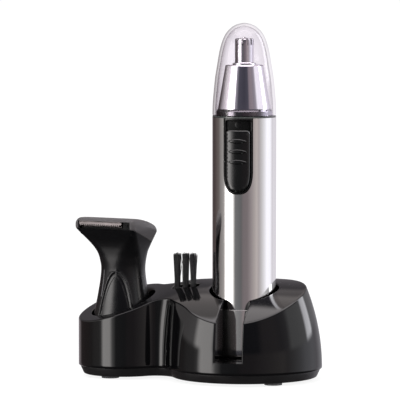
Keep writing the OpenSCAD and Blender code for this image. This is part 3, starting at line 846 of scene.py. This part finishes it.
def build_switch():
    # frame with a window, and the window's lower floor
    window = u_loop(10.95, 76.95, 105.9, corner=1.0)[::-1]
    plate("bezel_rim", [u_loop(12.05, 76.15, 106.78, corner=0.25), window],
          edge=0.22, depth=2.2, place=on_tube(13.08), step=0.8, spacing=0.4, chamfer=0.6,
          body="handpiece", replaces="switch_bezel", slot="switch_black", sharp=50)
    plate("bezel_floor", [u_loop(11.3, 76.8, 106.3, corner=0.4)], edge=0.05, depth=1.4,
          place=on_tube(12.1), body="handpiece", slot="switch_black", material="recess_black")
    # small round pad above the button
    plate("bezel_pad", [arc((0, 104.15), 1.25, 0, 360, 40, endpoint=False)], edge=0.08,
          depth=0.4, place=on_tube(12.2), step=0.5, spacing=0.3, body="handpiece",
          slot="switch_black")
    plate("slide_button", [u_loop(10.6, 77.15, 102.05, corner=1.5)], edge=0.5, depth=1.5,
          place=on_tube(BUTTON_R), step=0.9, segments=5, spacing=0.4, chamfer=0.75,
          body="switch", replaces="switch_button", slot="button_black", sharp=50)
    # lens-shaped ribs across the button
    half, rise = 4.35, 1.0
    r = (half**2 + rise**2) / (2 * rise)
    spread = math.degrees(math.asin(half / r)) - 2.5
    for z in (89.2, 93.4, 97.6):
        lens = np.vstack([arc((0, z + rise - r), r, 90 - spread, 90 + spread, 24),
                          arc((0, z - rise + r), r, 270 - spread, 270 + spread, 24)])
        plate("button_rib_%d" % int(z), [lens], edge=0.42, depth=0.9,
              place=on_tube(BUTTON_R + 0.34), step=0.35, segments=6, spacing=0.22,
              chamfer=0.5, body="switch", slot="button_black", sharp=60)


build_sleeve()
build_cap()
build_switch()


# ------------------------------------------------------------------ rotary head and clear cap
def build_cone():
    profile = rounded(
        [(11.05, 107.4), (11.4, 107.4), (11.4, 109.3), (10.95, 109.9), (10.75, 110.4),
         (7.75, 127.7), (7.3, 128.05), (4.1, 128.05), (4.1, 126.8), (6.2, 126.8),
         (9.4, 110.5), (9.9, 109.4), (11.05, 109.3)],
        [0.1, 0.15, 0.3, 0.25, 0.4, 0.35, 0.2, 0.1, 0, 0, 0, 0, 0], 4)
    revolve("chrome_cone", profile, body="head", replaces="head_cone", slot="chrome_head",
            sharp=50)


def build_guard():
    """Flanged cutter tube topped by a crown of teeth that turn in to a pierced hub."""
    teeth, gap = 12, 0.84
    outer, inner = 3.78, 3.45
    slot_z, top = 136.2, 138.8
    soup = Soup()
    tube = rounded(
        [(3.8, 128.0), (4.75, 128.0), (4.75, 128.75), (3.95, 128.9), (outer, 129.1),
         (outer, slot_z), (inner, slot_z), (inner, 128.0)],
        [0, 0.12, 0.15, 0.1, 0, 0, 0, 0], 3)
    soup.grid(turned(tube, full_turn(teeth * 16)), close_rows=True, close_columns=True)
    tooth = rounded(
        [(outer, slot_z - 0.3), (outer, top - 0.05), (1.7, top), (1.7, top - 0.4),
         (inner, top - 0.42), (inner, slot_z - 0.3)],
        [0, 0.6, 0.1, 0.1, 0.2, 0], 5)
    half = math.pi / teeth - gap / 2 / outer
    for i in range(teeth):
        middle = 2 * math.pi * (i + 0.5) / teeth
        soup.rod(turned(tooth, np.linspace(middle - half, middle + half, 7)))
    hub = [(1.05, top - 0.4), (1.95, top - 0.4), (1.95, top + 0.05), (1.8, top + 0.1),
           (1.05, top + 0.1)]
    soup.grid(turned(hub, full_turn(48)), close_rows=True, close_columns=True)
    soup.make("slotted_guard", body="head", replaces="cutter_guard", slot="cutter_steel",
              sharp=40, merge=0.0005)


# outer outline of the clear cap, from the rim up: radius, z
DOME = np.array([
    (12.95, 107.45), (12.92, 110.0), (12.82, 112.8), (12.62, 115.2), (12.18, 120.1),
    (11.75, 123.8), (11.15, 127.4), (10.75, 129.9), (10.35, 132.3), (9.85, 134.7),
    (9.15, 137.2), (8.2, 139.6), (7.1, 141.4), (5.7, 142.9), (4.0, 144.1), (2.0, 144.8),
    (0.0, 145.1),
])
DOME_WALL = 1.15
DOME_BORE = 11.8  # inner radius at the rim


def spline(x, y, queries, end_slope):
    """Cubic spline through points, natural at the start and with a given slope at the end."""
    n = len(x)
    h = np.diff(x)
    system, right = np.zeros((n, n)), np.zeros(n)
    system[0, 0] = 1
    for i in range(1, n - 1):
        system[i, i - 1:i + 2] = h[i - 1], 2 * (h[i - 1] + h[i]), h[i]
        right[i] = 3 * ((y[i + 1] - y[i]) / h[i] - (y[i] - y[i - 1]) / h[i - 1])
    system[-1, -1], system[-1, -2] = 2 * h[-1], h[-1]
    right[-1] = 3 * (end_slope - (y[-1] - y[-2]) / h[-1])
    square = np.linalg.solve(system, right)
    i = np.clip(np.searchsorted(x, queries) - 1, 0, n - 2)
    dx = queries - x[i]
    linear = (y[i + 1] - y[i]) / h[i] - h[i] * (2 * square[i] + square[i + 1]) / 3
    cubic = (square[i + 1] - square[i]) / (3 * h[i])
    return y[i] + linear * dx + square[i] * dx**2 + cubic * dx**3


def build_dome():
    run = np.concatenate([[0], np.cumsum(np.linalg.norm(np.diff(DOME, axis=0), axis=1))])
    queries = np.linspace(0, run[-1], 90)
    r = spline(run, DOME[:, 0], queries, end_slope=-1.0)
    z = spline(run, DOME[:, 1], queries, end_slope=0.0)
    # running average keeps the curvature even
    weights = np.array([1, 2, 3, 2, 1]) / 9
    for _ in range(3):
        r[2:-2] = np.convolve(r, weights, "valid")
        z[2:-2] = np.convolve(z, weights, "valid")
    dr, dz = np.gradient(r), np.gradient(z)
    length = np.hypot(dr, dz)
    inner_r = r - DOME_WALL * dz / length
    inner_z = z + DOME_WALL * dr / length
    above_rim = inner_z > 107.9
    inner_r, inner_z = inner_r[above_rim], inner_z[above_rim]
    inner_r[-1] = 0
    r[-1] = 0
    outside = list(zip(r, np.minimum(z, DOME[-1, 1])))[1:]
    within = list(zip(inner_r[::-1], inner_z[::-1]))
    within[-1] = (DOME_BORE, within[-1][1])
    profile = [(DOME_BORE, DOME[0, 1]), (12.75, 107.42)] + outside + within
    revolve("clear_dome", [(max(r, 0.0), z) for r, z in profile], merge=0.001, body="cap",
            replaces="clear_cap", slot="clear_plastic", sharp=60)


build_cone()
build_guard()
build_dome()

# ------------------------------------------------------------------ spare trimming head
HEAD_POINTS = 320  # points round each section
# round lower sections: z, radius
BELL = [
    (12.0, 12.2), (12.3, 12.4), (18, 12.4), (23, 12.35), (26, 11.95), (29, 11.35),
    (32, 10.75), (35, 10.2), (38, 9.7), (41, 9.3), (43.5, 9.1), (45.5, 9.15),
]
# rounded rectangles above: z, half width, reach to the front, reach to the back, corner radius
FLARE = [
    (47.5, 9.3, 9.25, 9.0, 8.6), (49.5, 9.5, 9.3, 8.8, 7.8), (51.5, 9.9, 9.6, 8.4, 6.8),
    (53.5, 10.5, 10.1, 7.9, 5.2), (55.5, 11.3, 11.0, 7.3, 3.8), (57.5, 12.3, 12.3, 6.7, 2.8),
    (59.5, 13.3, 13.9, 6.2, 2.1), (61.3, 14.0, 15.2, 5.7, 1.5), (63.0, 14.1, 15.4, 5.5, 1.4),
]
BELL_BOTTOM, BELL_TOP = BELL[0][0], BELL[-1][0]
SECTION_TOP = 62.8  # the cover's walls keep the section at this height above it
HEAD_WALL = 1.4
SEAM_MAX = 61.2  # seam between body and cover, highest at the front
ARCH_TURN = math.radians(13.0)  # the arch's middle, round from the head's front


def spare_point(x, y, z):
    """From the spare head's own frame (front -y) to the stand's frame."""
    c, s = math.cos(SPARE_TURN), math.sin(SPARE_TURN)
    return (SPARE_X + x * c - y * s, x * s + y * c, z)


def spare_rows(rows):
    return np.array([[spare_point(*p) for p in row] for row in rows])


def section(loop):
    """Resamples a closed loop by direction from the head's axis, so that lofts don't twist."""
    angles = np.linspace(0, 2 * math.pi, HEAD_POINTS, endpoint=False) + 0.0001
    a = np.unwrap(np.arctan2(loop[:, 1], loop[:, 0]))
    around = np.concatenate([a - 2 * math.pi, a, a + 2 * math.pi])
    radii = np.tile(np.hypot(loop[:, 0], loop[:, 1]), 3)
    order = np.argsort(around)
    r = np.interp(angles, around[order], radii[order])
    return np.stack([r * np.cos(angles), r * np.sin(angles)], 1)


SECTION_Z = np.array([row[0] for row in BELL + FLARE], float)
SECTIONS = np.array(
    [section(arc((0, 0), r, 0, 360, 240, endpoint=False)) for _, r in BELL]
    + [section(rounded_box(-half, half, -front, back, corner, 10, 0.05))
       for _, half, front, back, corner in FLARE])


def loft(z):
    """The smooth section through SECTIONS, with a height for each point."""
    zs, table = SECTION_Z, SECTIONS
    i = np.clip(np.searchsorted(zs, z) - 1, 0, len(zs) - 2)
    t = np.clip((z - zs[i]) / (zs[i + 1] - zs[i]), 0, 1)[:, None]
    before, after = np.maximum(i - 1, 0), np.minimum(i + 2, len(zs) - 1)
    k = np.arange(HEAD_POINTS)
    h = (zs[i + 1] - zs[i])[:, None]
    a, b = table[i, k], table[i + 1, k]
    slope_a = (b - table[before, k]) / np.maximum(zs[i + 1] - zs[before], 1e-6)[:, None] * h
    slope_b = (table[after, k] - a) / np.maximum(zs[after] - zs[i], 1e-6)[:, None] * h
    return ((2 * t**3 - 3 * t**2 + 1) * a + (t**3 - 2 * t**2 + t) * slope_a
            + (-2 * t**3 + 3 * t**2) * b + (t**3 - t**2) * slope_b)


def seam_line():
    """Height of the seam round the head, where the section meets the sloping seam plane."""
    z = np.full(HEAD_POINTS, 58.0)
    for _ in range(12):
        y = loft(z)[:, 1]
        z = np.minimum(SEAM_MAX - (y + 15.3) * math.tan(math.radians(17.5)), SEAM_MAX)
    return z


def arch(x, y, z):
    """Relief of the double arch on the front of the skirt."""
    crown = 43.4
    u = np.abs(np.hypot(x, y) * (np.arctan2(x, -y) - ARCH_TURN))
    below = np.clip(crown - z, 1e-3, None)
    outer = 2.25 * below**0.42
    inner = 6.2 * np.clip((41.4 - z) / 13.4, 0, 1) ** 0.62
    # distance to the outer arch, measured square to it near the crown
    away = (u - outer) / np.sqrt(1 + (0.945 * below**-0.58) ** 2)
    to_crown = np.hypot(u, z - crown)
    away = np.where(z > crown, to_crown, away)
    away = np.sign(away) * np.minimum(np.abs(away), to_crown)
    ridge = np.exp(-((away / 0.5) ** 2)) * 0.5
    groove = -0.22 * smoothstep(-0.2, -0.6, away) * smoothstep(-0.3, 0.3, u - inner)
    panel = 0.30 * smoothstep(0.25, -0.25, u - inner)
    return ridge + groove + panel


def drawn_in(xy, distance):
    """Points moved towards the head's axis."""
    return xy * (1 - distance / np.hypot(xy[..., 0], xy[..., 1])[..., None])


def build_head_body():
    soup = Soup()
    seam = seam_line()
    bell_share = 0.72  # share of the rows on the bell
    rows = []
    for q in np.linspace(0, 1, 190):
        if q < bell_share:
            level = BELL_BOTTOM + (BELL_TOP - BELL_BOTTOM) * (q / bell_share)
            z = np.full(HEAD_POINTS, level)
        else:
            z = BELL_TOP + (seam - BELL_TOP) * ((q - bell_share) / (1 - bell_share))
        xy = loft(z)
        relief = arch(xy[:, 0], xy[:, 1], z) * (xy[:, 1] < -1)
        relief = relief * smoothstep(20, 23, z) * smoothstep(46, 44, z)
        xy = xy * (1 + relief[:, None] / np.hypot(xy[:, 0], xy[:, 1])[:, None])
        rows.append(at_height(xy, z))
    rows = np.array(rows)
    inner = rows.copy()
    inner[..., :2] = drawn_in(inner[..., :2], HEAD_WALL)
    soup.grid(spare_rows(np.concatenate([rows, inner[::-1]])), close_rows=True,
              close_columns=True)
    soup.make("trim_head_body", body="attachment", replaces="attachment_body",
              slot="head_black", sharp=50, merge=0.0005)


def box(soup, x0, x1, y0, y1, z0, z1):
    """A box in the spare head's frame."""
    first = len(soup.verts)
    soup.verts.extend([spare_point(x, y, z) for x in (x0, x1) for y in (y0, y1)
                       for z in (z0, z1)])
    quads = [(0, 1, 3, 2), (4, 6, 7, 5), (0, 4, 5, 1), (2, 3, 7, 6), (0, 2, 6, 4), (1, 5, 7, 3)]
    soup.faces.extend([tuple(first + i for i in quad) for quad in quads])


def roof(y):
    """Height of the cover's top, falling towards the back."""
    return 65.6 - 0.0125 * np.clip(y + 12.5, 0, 30) ** 2


def cut_window(ob):
    """Cuts the comb's window through the front of the cover."""
    soup = Soup()
    box(soup, -12.4, 12.4, -18, -5.5, 58.0, 64.35)
    cutter = soup.make("cut_tool", merge=0)
    window = ob.modifiers.new("window", "BOOLEAN")
    window.operation = "DIFFERENCE"
    window.object = cutter
    window.solver = "EXACT"
    bpy.context.view_layer.update()
    graph = bpy.context.evaluated_depsgraph_get()
    mesh = bpy.data.meshes.new_from_object(ob.evaluated_get(graph))
    ob.modifiers.remove(window)
    ob.data = mesh
    bpy.data.objects.remove(cutter)
    mesh.set_sharp_from_angle(angle=math.radians(50))


def build_head_cover():
    seam_gap = 0.12
    soup = Soup()
    base = loft(np.full(HEAD_POINTS, 60.0))
    bottom = seam_line() + seam_gap
    # the rounded eaves reach further at the front's sides and at the back
    back = smoothstep(-6.0, 4.0, base[:, 1])
    side = smoothstep(10.5, 13.8, np.abs(base[:, 0]))
    eave_drop = 1.5 + 1.6 * side * (1 - back) + 1.5 * back
    eave_reach = 1.6 + 1.2 * side * (1 - back) + 1.4 * back
    middle = np.array([0, -5.8])
    inward = middle - base
    inward /= np.linalg.norm(inward, axis=1, keepdims=True)
    top = roof(base[:, 1] + inward[:, 1] * eave_reach)
    # wall
    rows = []
    for q in np.linspace(0, 1, 26):
        z = bottom + (top - eave_drop - bottom) * q
        xy = loft(np.minimum(z, SECTION_TOP))
        if q == 0:
            xy = drawn_in(xy, seam_gap)
        rows.append(at_height(xy, z))
    # eaves
    last = rows[-1]
    for k in range(1, 17):
        a = math.pi / 2 * k / 16
        xy = last[:, :2] + inward * (eave_reach * (1 - math.cos(a)))[:, None]
        rows.append(at_height(xy, top - eave_drop + eave_drop * math.sin(a)))
    # roof, closing in on the middle
    rim = rows[-1]
    for f in np.linspace(0.93, 0.0, 14):
        p = middle + (rim[:, :2] - middle) * f
        t = f**6
        z = roof(p[:, 1]) * (1 - t) + (rim[:, 2] + roof(p[:, 1]) - roof(rim[:, 1])) * t
        rows.append(at_height(p, z))
    outside = spare_rows(rows)
    soup.grid(outside, close_columns=True)
    # inside face
    inner = []
    for q in np.linspace(0, 1, 6):
        z = bottom + (top - eave_drop * 0.8 - 1.3 - bottom) * q
        inner.append(at_height(drawn_in(loft(np.minimum(z, SECTION_TOP)), HEAD_WALL), z))
    last = inner[-1]
    for f in np.linspace(0.8, 0.0, 4):
        z = last[:, 2] + (roof(middle[1]) - 1.5 - last[:, 2]) * (1 - f)
        inner.append(at_height(middle + (last[:, :2] - middle) * f, z))
    within = spare_rows(inner)
    soup.grid(within, close_columns=True)
    soup.grid([outside[0], within[0]], close_columns=True)
    ob = soup.make("trim_head_cover", body="attachment", replaces="attachment_cover",
                   slot="cover_grey", sharp=50, merge=0.0005)
    cut_window(ob)


def build_comb():
    """Row of upright teeth with narrowed lower ends, under a thin plate."""
    middle, half = -1.9, 10.0
    front, back, plate_back = -14.9, -13.5, -6.5
    bottom, spine, plate_bottom, top = 62.15, 63.05, 63.75, 64.25
    pitch, gap = 0.9, 0.34
    tooth_half = (pitch - gap) / 2
    soup = Soup()
    for i in range(-16, 17):
        x = i * pitch + pitch / 2
        if abs(x - middle) > half - 0.6:
            continue
        rows = []
        # z, share of the width, set-back of the front
        for z, share, inset in [(bottom, 0.55, 0.35), (bottom + 0.35, 1.0, 0.05),
                                (spine + 0.2, 1.0, 0.0)]:
            x0, x1, y = x - tooth_half * share, x + tooth_half * share, front + inset
            rows.append([(x0, y, z), (x1, y, z), (x1, back, z), (x0, back, z)])
        soup.rod(spare_rows(rows))
    box(soup, middle - half, middle + half, front, back, spine, top)
    box(soup, middle - half, middle + half, front, plate_back, plate_bottom, top)
    soup.make("comb_fixed", body="attachment", replaces="fixed_blade", slot="comb_steel",
              merge=0.0005, sharp=30)


def build_comb_rest():
    """Bar behind the comb's teeth with a stepped block at its +x end."""
    soup = Soup()
    box(soup, -12.3, 12.3, -13.35, -12.6, 58.8, 61.9)
    box(soup, 8.35, 12.3, -14.1, -13.5, 60.9, 64.2)
    box(soup, 9.6, 10.9, -14.55, -14.1, 62.3, 63.1)
    ob = soup.make("comb_rest", body="attachment", slot="head_black", material="recess_black")
    bevel(ob, 0.15)


build_head_body()
build_head_cover()
build_comb()
build_comb_rest()


# ------------------------------------------------------------------ brush
def build_brush_block():
    soup = Soup()
    loop = rounded_box(BRUSH_X - 5.25, BRUSH_X + 5.25, BRUSH_Y - 1.95, BRUSH_Y + 1.95,
                       1.9, 10, 0.4)
    profile = [(0.4, SOCKET_Z), (0.0, 12.4), (0.0, 35.7), (0.1, 36.05), (0.35, 36.3)]
    rounded_prism(soup, loop, profile)
    soup.make("brush_block", body="brush", replaces="brush_handle", slot="head_black", sharp=50)


def build_bristles():
    """Six round tufts of slightly spread bristles; a few bristles stray."""
    tuft_r, per_tuft, bristle_r = 0.95, 40, 0.1
    golden_angle = 2.39996
    rng = np.random.default_rng(7)
    soup = Soup()
    tufts = [(i, x, y) for i, x in enumerate((-3.5, -0.1, 3.1)) for y in (-1.0, 1.0)]
    for column, tuft_x, tuft_y in tufts:
        for k in range(per_tuft):
            r = tuft_r * math.sqrt((k + 0.5) / per_tuft)
            a = k * golden_angle + column
            x0 = BRUSH_X + tuft_x + r * math.cos(a)
            y0 = BRUSH_Y + tuft_y + r * math.sin(a)
            length = 14.7 + rng.normal(0, 0.22)
            stray = 2.6 if rng.random() < 0.05 else 1.0
            dx = (r * math.cos(a) * 0.55 + rng.normal(0, 0.16)) * stray
            dy = (r * math.sin(a) * 0.30 + rng.normal(0, 0.10)) * stray
            bend = rng.normal(0, 0.10) * stray
            rows = []
            for t in (0.0, 0.35, 0.7, 0.93, 1.0):
                x = x0 + dx * t * t + bend * math.sin(t * math.pi)
                y = y0 + dy * t * t
                z = 35.6 + length * t
                ring_r = bristle_r * (1.0 if t < 0.95 else 0.55)
                rows.append([[x + ring_r * math.cos(w), y + ring_r * math.sin(w), z]
                             for w in full_turn(6)])
            soup.rod(np.array(rows))
    soup.make("brush_bristles", body="brush", replaces="brush_tufts", slot="bristle_black",
              merge=0.0005, sharp=70)


build_brush_block()
build_bristles()

# ------------------------------------------------------------------ carried-over nodes
BEVELLED = ("rubber_feet", "neck_ring", "stand_screws", "head_ring", "motor_can", "battery",
            "rotary_blade")
slot_of = {part["node"]: part["material_slot"] for part in frame["record"]["subparts"]}
for name, ob in frame["nodes"].items():
    ob.data.materials.clear()
    ob.data.materials.append(MATERIALS[slot_of[name]])
    if name in BEVELLED:
        bevel(ob, 0.12, angle=40, name="edge")

# ------------------------------------------------------------------ studio (metres)
AZIMUTH = math.radians(12.0)
RIGHT = Vector((math.cos(AZIMUTH), math.sin(AZIMUTH), 0))  # the camera's right
TO_CAMERA = Vector((math.sin(AZIMUTH), -math.cos(AZIMUTH), 0))
# What reflections see, in bands from low to high. Each stop is the azimuth from the camera's
# direction (degrees, positive to the right) and the light's (r, g, b).
LOW_BAND = [
    (-180, (0.70, 0.66, 0.72)), (-162, (0.30, 0.26, 0.27)), (-150, (0.06, 0.047, 0.047)),
    (-128, (0.10, 0.078, 0.076)), (-112, (0.15, 0.125, 0.12)), (-104, (0.17, 0.15, 0.145)),
    (-95, (0.30, 0.28, 0.275)), (-80, (0.42, 0.40, 0.39)), (-74, (0.8, 0.78, 0.77)),
    (-67, (6.2, 6.0, 5.9)), (-50, (6.2, 6.0, 5.9)), (-43, (1.6, 1.57, 1.55)),
    (-34, (0.22, 0.22, 0.225)), (-16, (0.165, 0.168, 0.175)), (-10, (0.165, 0.16, 0.165)),
    (-4, (0.225, 0.195, 0.205)), (12, (0.25, 0.215, 0.225)), (24, (0.37, 0.325, 0.335)),
    (36, (0.50, 0.45, 0.445)), (46, (0.64, 0.58, 0.565)), (54, (0.52, 0.475, 0.485)),
    (64, (0.70, 0.68, 0.70)), (76, (0.96, 0.95, 1.0)), (90, (1.35, 1.35, 1.45)),
    (108, (1.3, 1.3, 1.4)), (122, (0.86, 0.83, 0.90)), (134, (0.94, 0.92, 0.99)),
    (180, (0.70, 0.66, 0.72)),
]
HIGH_BAND = [
    (-180, (0.20, 0.185, 0.20)), (-165, (0.13, 0.12, 0.13)), (-150, (0.12, 0.11, 0.115)),
    (-128, (0.30, 0.27, 0.27)), (-120, (0.5, 0.47, 0.47)), (-97, (0.95, 0.9, 0.9)),
    (-84, (1.3, 1.25, 1.25)), (-76, (6.2, 6.0, 5.9)), (-52, (6.2, 6.0, 5.9)),
    (-43, (0.5, 0.5, 0.52)), (-28, (0.10, 0.10, 0.122)), (0, (0.072, 0.072, 0.09)),
    (18, (0.10, 0.10, 0.122)), (24, (0.32, 0.28, 0.295)), (38, (0.38, 0.335, 0.35)),
    (46, (0.34, 0.315, 0.34)), (56, (0.50, 0.48, 0.51)), (64, (1.35, 1.35, 1.37)),
    (96, (1.35, 1.35, 1.38)), (101, (7.6, 7.6, 8.0)), (113, (7.6, 7.6, 8.0)),
    (118, (1.35, 1.35, 1.4)), (140, (0.9, 0.88, 0.93)), (160, (0.36, 0.34, 0.37)),
    (180, (0.20, 0.185, 0.20)),
]
UPPER_BAND = [
    (-180, (0.55, 0.50, 0.51)), (-160, (0.12, 0.11, 0.11)), (-110, (0.06, 0.055, 0.055)),
    (-90, (0.16, 0.155, 0.18)), (96, (0.16, 0.155, 0.19)), (102, (7.0, 7.0, 7.4)),
    (113, (7.0, 7.0, 7.4)), (120, (0.45, 0.43, 0.46)), (180, (0.55, 0.50, 0.51)),
]
CROWN_BAND = [
    (-180, (1.15, 1.05, 1.04)), (-150, (0.7, 0.64, 0.62)), (-110, (0.16, 0.15, 0.16)),
    (96, (0.16, 0.155, 0.19)), (102, (5.0, 5.0, 5.3)), (112, (5.0, 5.0, 5.3)),
    (120, (1.1, 1.0, 0.99)), (180, (1.15, 1.05, 1.04)),
]
OVERHEAD_BAND = [
    (-180, (1.05, 0.97, 0.96)), (-145, (1.05, 0.97, 0.96)), (-115, (3.4, 3.25, 3.3)),
    (112, (3.4, 3.25, 3.3)), (140, (1.05, 0.97, 0.96)), (180, (1.05, 0.97, 0.96)),
]
GROUND, ZENITH = (0.055, 0.05, 0.05), (3.4, 3.25, 3.3)
FULL_LEVEL = 8.0  # band colours are divided by this, and the background's strength restores it


def build_floor():
    """Matt floor that glows partly by itself and isn't seen in reflections."""
    half = 6.0
    mesh = bpy.data.meshes.new("floor")
    corners = [(-half, -half, 0), (half, -half, 0), (half, half, 0), (-half, half, 0)]
    mesh.from_pydata(corners, [], [(0, 1, 2, 3)])
    floor = bpy.data.objects.new("floor", mesh)
    bpy.context.scene.collection.objects.link(floor)
    floor.location.z = -0.0002
    material = finish("floor_mat", (0.86, 0.86, 0.86), (0.88, 0.88, 0.88), rough=0.9,
                      rough_vary=0.02, bump=0.01, grain=40, patch=3, spec=0.0)
    tree, shader = shader_of(material)
    output = next(n for n in tree.nodes if n.type == "OUTPUT_MATERIAL")
    glow = node(tree, "Emission", {"Strength": 1.1})
    surface = mix_shaders(tree, 0.80, shader.outputs[0], glow.outputs[0])
    tree.links.new(surface, output.inputs[0])
    mesh.materials.append(material)
    floor.visible_glossy = False


def dimmed(colour):
    return tuple(c / FULL_LEVEL for c in colour)


def band_colour(tree, turn, stops):
    """Colour ramp over the azimuth; turn is 0 to 1 for -180 to 180 degrees."""
    band = node(tree, "ValToRGB", {0: turn})
    ramp = band.color_ramp
    ramp.interpolation = "LINEAR"
    while len(ramp.elements) > 1:
        ramp.elements.remove(ramp.elements[-1])
    for i, (azimuth, colour) in enumerate(stops):
        position = (azimuth + 180) / 360
        element = ramp.elements.new(position) if i else ramp.elements[0]
        element.position = position
        element.color = (*dimmed(colour), 1)
    return band.outputs[0]


def build_world():
    """Banded studio for reflections, soft light for the rest, a pale backdrop for the eye."""
    world = bpy.data.worlds.new("studio")
    bpy.context.scene.world = world
    world.use_nodes = True
    tree = world.node_tree
    tree.nodes.clear()
    direction = node(tree, "TexCoord").outputs["Generated"]

    def along(axis):
        inputs = {0: direction, 1: axis}
        dot = node(tree, "VectorMath", inputs, operation="DOT_PRODUCT")
        return dot.outputs["Value"]

    azimuth = calculate(tree, "ARCTAN2", along(RIGHT), along(TO_CAMERA))
    turn = map_range(tree, azimuth, -math.pi, math.pi)
    low, high, upper, crown, overhead = (
        band_colour(tree, turn, stops)
        for stops in (LOW_BAND, HIGH_BAND, UPPER_BAND, CROWN_BAND, OVERHEAD_BAND))
    height = component(tree, direction, 2)

    def change(below, above, start, end):
        """Goes from one colour to the other between two elevations in degrees."""
        factor = map_range(tree, height, math.sin(math.radians(start)),
                           math.sin(math.radians(end)), interpolation_type="SMOOTHSTEP")
        return blend(tree, below, above, factor)

    sky = change(low, high, 3.5, 6.5)
    sky = change(dimmed(GROUND), sky, -30, -16)
    sky = change(sky, upper, 27, 33)
    sky = change(sky, crown, 36, 42)
    sky = change(sky, overhead, 49, 54)
    sky = change(sky, dimmed(ZENITH), 60, 66)

    def background(colour, strength):
        inputs = {"Color": colour, "Strength": strength}
        return node(tree, "Background", inputs).outputs[0]

    mirrored = background(sky, FULL_LEVEL)
    soft = background((0.95, 0.95, 0.96, 1), 0.85)
    pale = background((1, 1, 1, 1), 1.02)
    rays = node(tree, "LightPath").outputs
    lighting = mix_shaders(tree, rays["Is Glossy Ray"], soft, mirrored)
    seen = calculate(tree, "MAXIMUM", rays["Is Camera Ray"], rays["Is Transmission Ray"])
    node(tree, "OutputWorld", {0: mix_shaders(tree, seen, lighting, pale)})


def area_light(name, place, size, power):
    """Square light aimed at the trimmer, not seen in reflections."""
    light = bpy.data.lights.new(name, "AREA")
    light.shape = "RECTANGLE"
    light.size, light.size_y = size, size
    light.energy = power
    ob = bpy.data.objects.new(name, light)
    ob.location = place
    aim = Vector((0.0, 0.0, 0.06)) - Vector(place)
    ob.rotation_euler = aim.to_track_quat("-Z", "Y").to_euler()
    ob.visible_glossy = False
    bpy.context.scene.collection.objects.link(ob)


def build_camera():
    distance, height = 1.430, 0.173
    aim_left, aim_down = math.radians(0.72145221), math.radians(4.0015798)
    scene = bpy.context.scene
    lens = bpy.data.cameras.new("camera")
    lens.lens = 316.62
    lens.sensor_width = 36
    lens.clip_end = 20
    camera = bpy.data.objects.new("camera", lens)
    camera.location = Vector((TRIMMER_X * MM, 0, height)) + TO_CAMERA * distance
    aim = -TO_CAMERA * math.cos(aim_left) - RIGHT * math.sin(aim_left)
    aim = aim * math.cos(aim_down) + Vector((0, 0, -math.sin(aim_down)))
    camera.rotation_euler = aim.to_track_quat("-Z", "Y").to_euler()
    scene.collection.objects.link(camera)
    scene.camera = camera
    scene.view_settings.view_transform = "Standard"
    scene.view_settings.look = "None"


build_floor()
build_world()
area_light("key", place=(-0.5, -0.7, 0.9), size=0.6, power=5.0)
area_light("fill", place=(0.8, -0.5, 0.6), size=0.6, power=3.0)
area_light("top", place=(0.0, 0.1, 1.1), size=0.9, power=5.0)
build_camera()
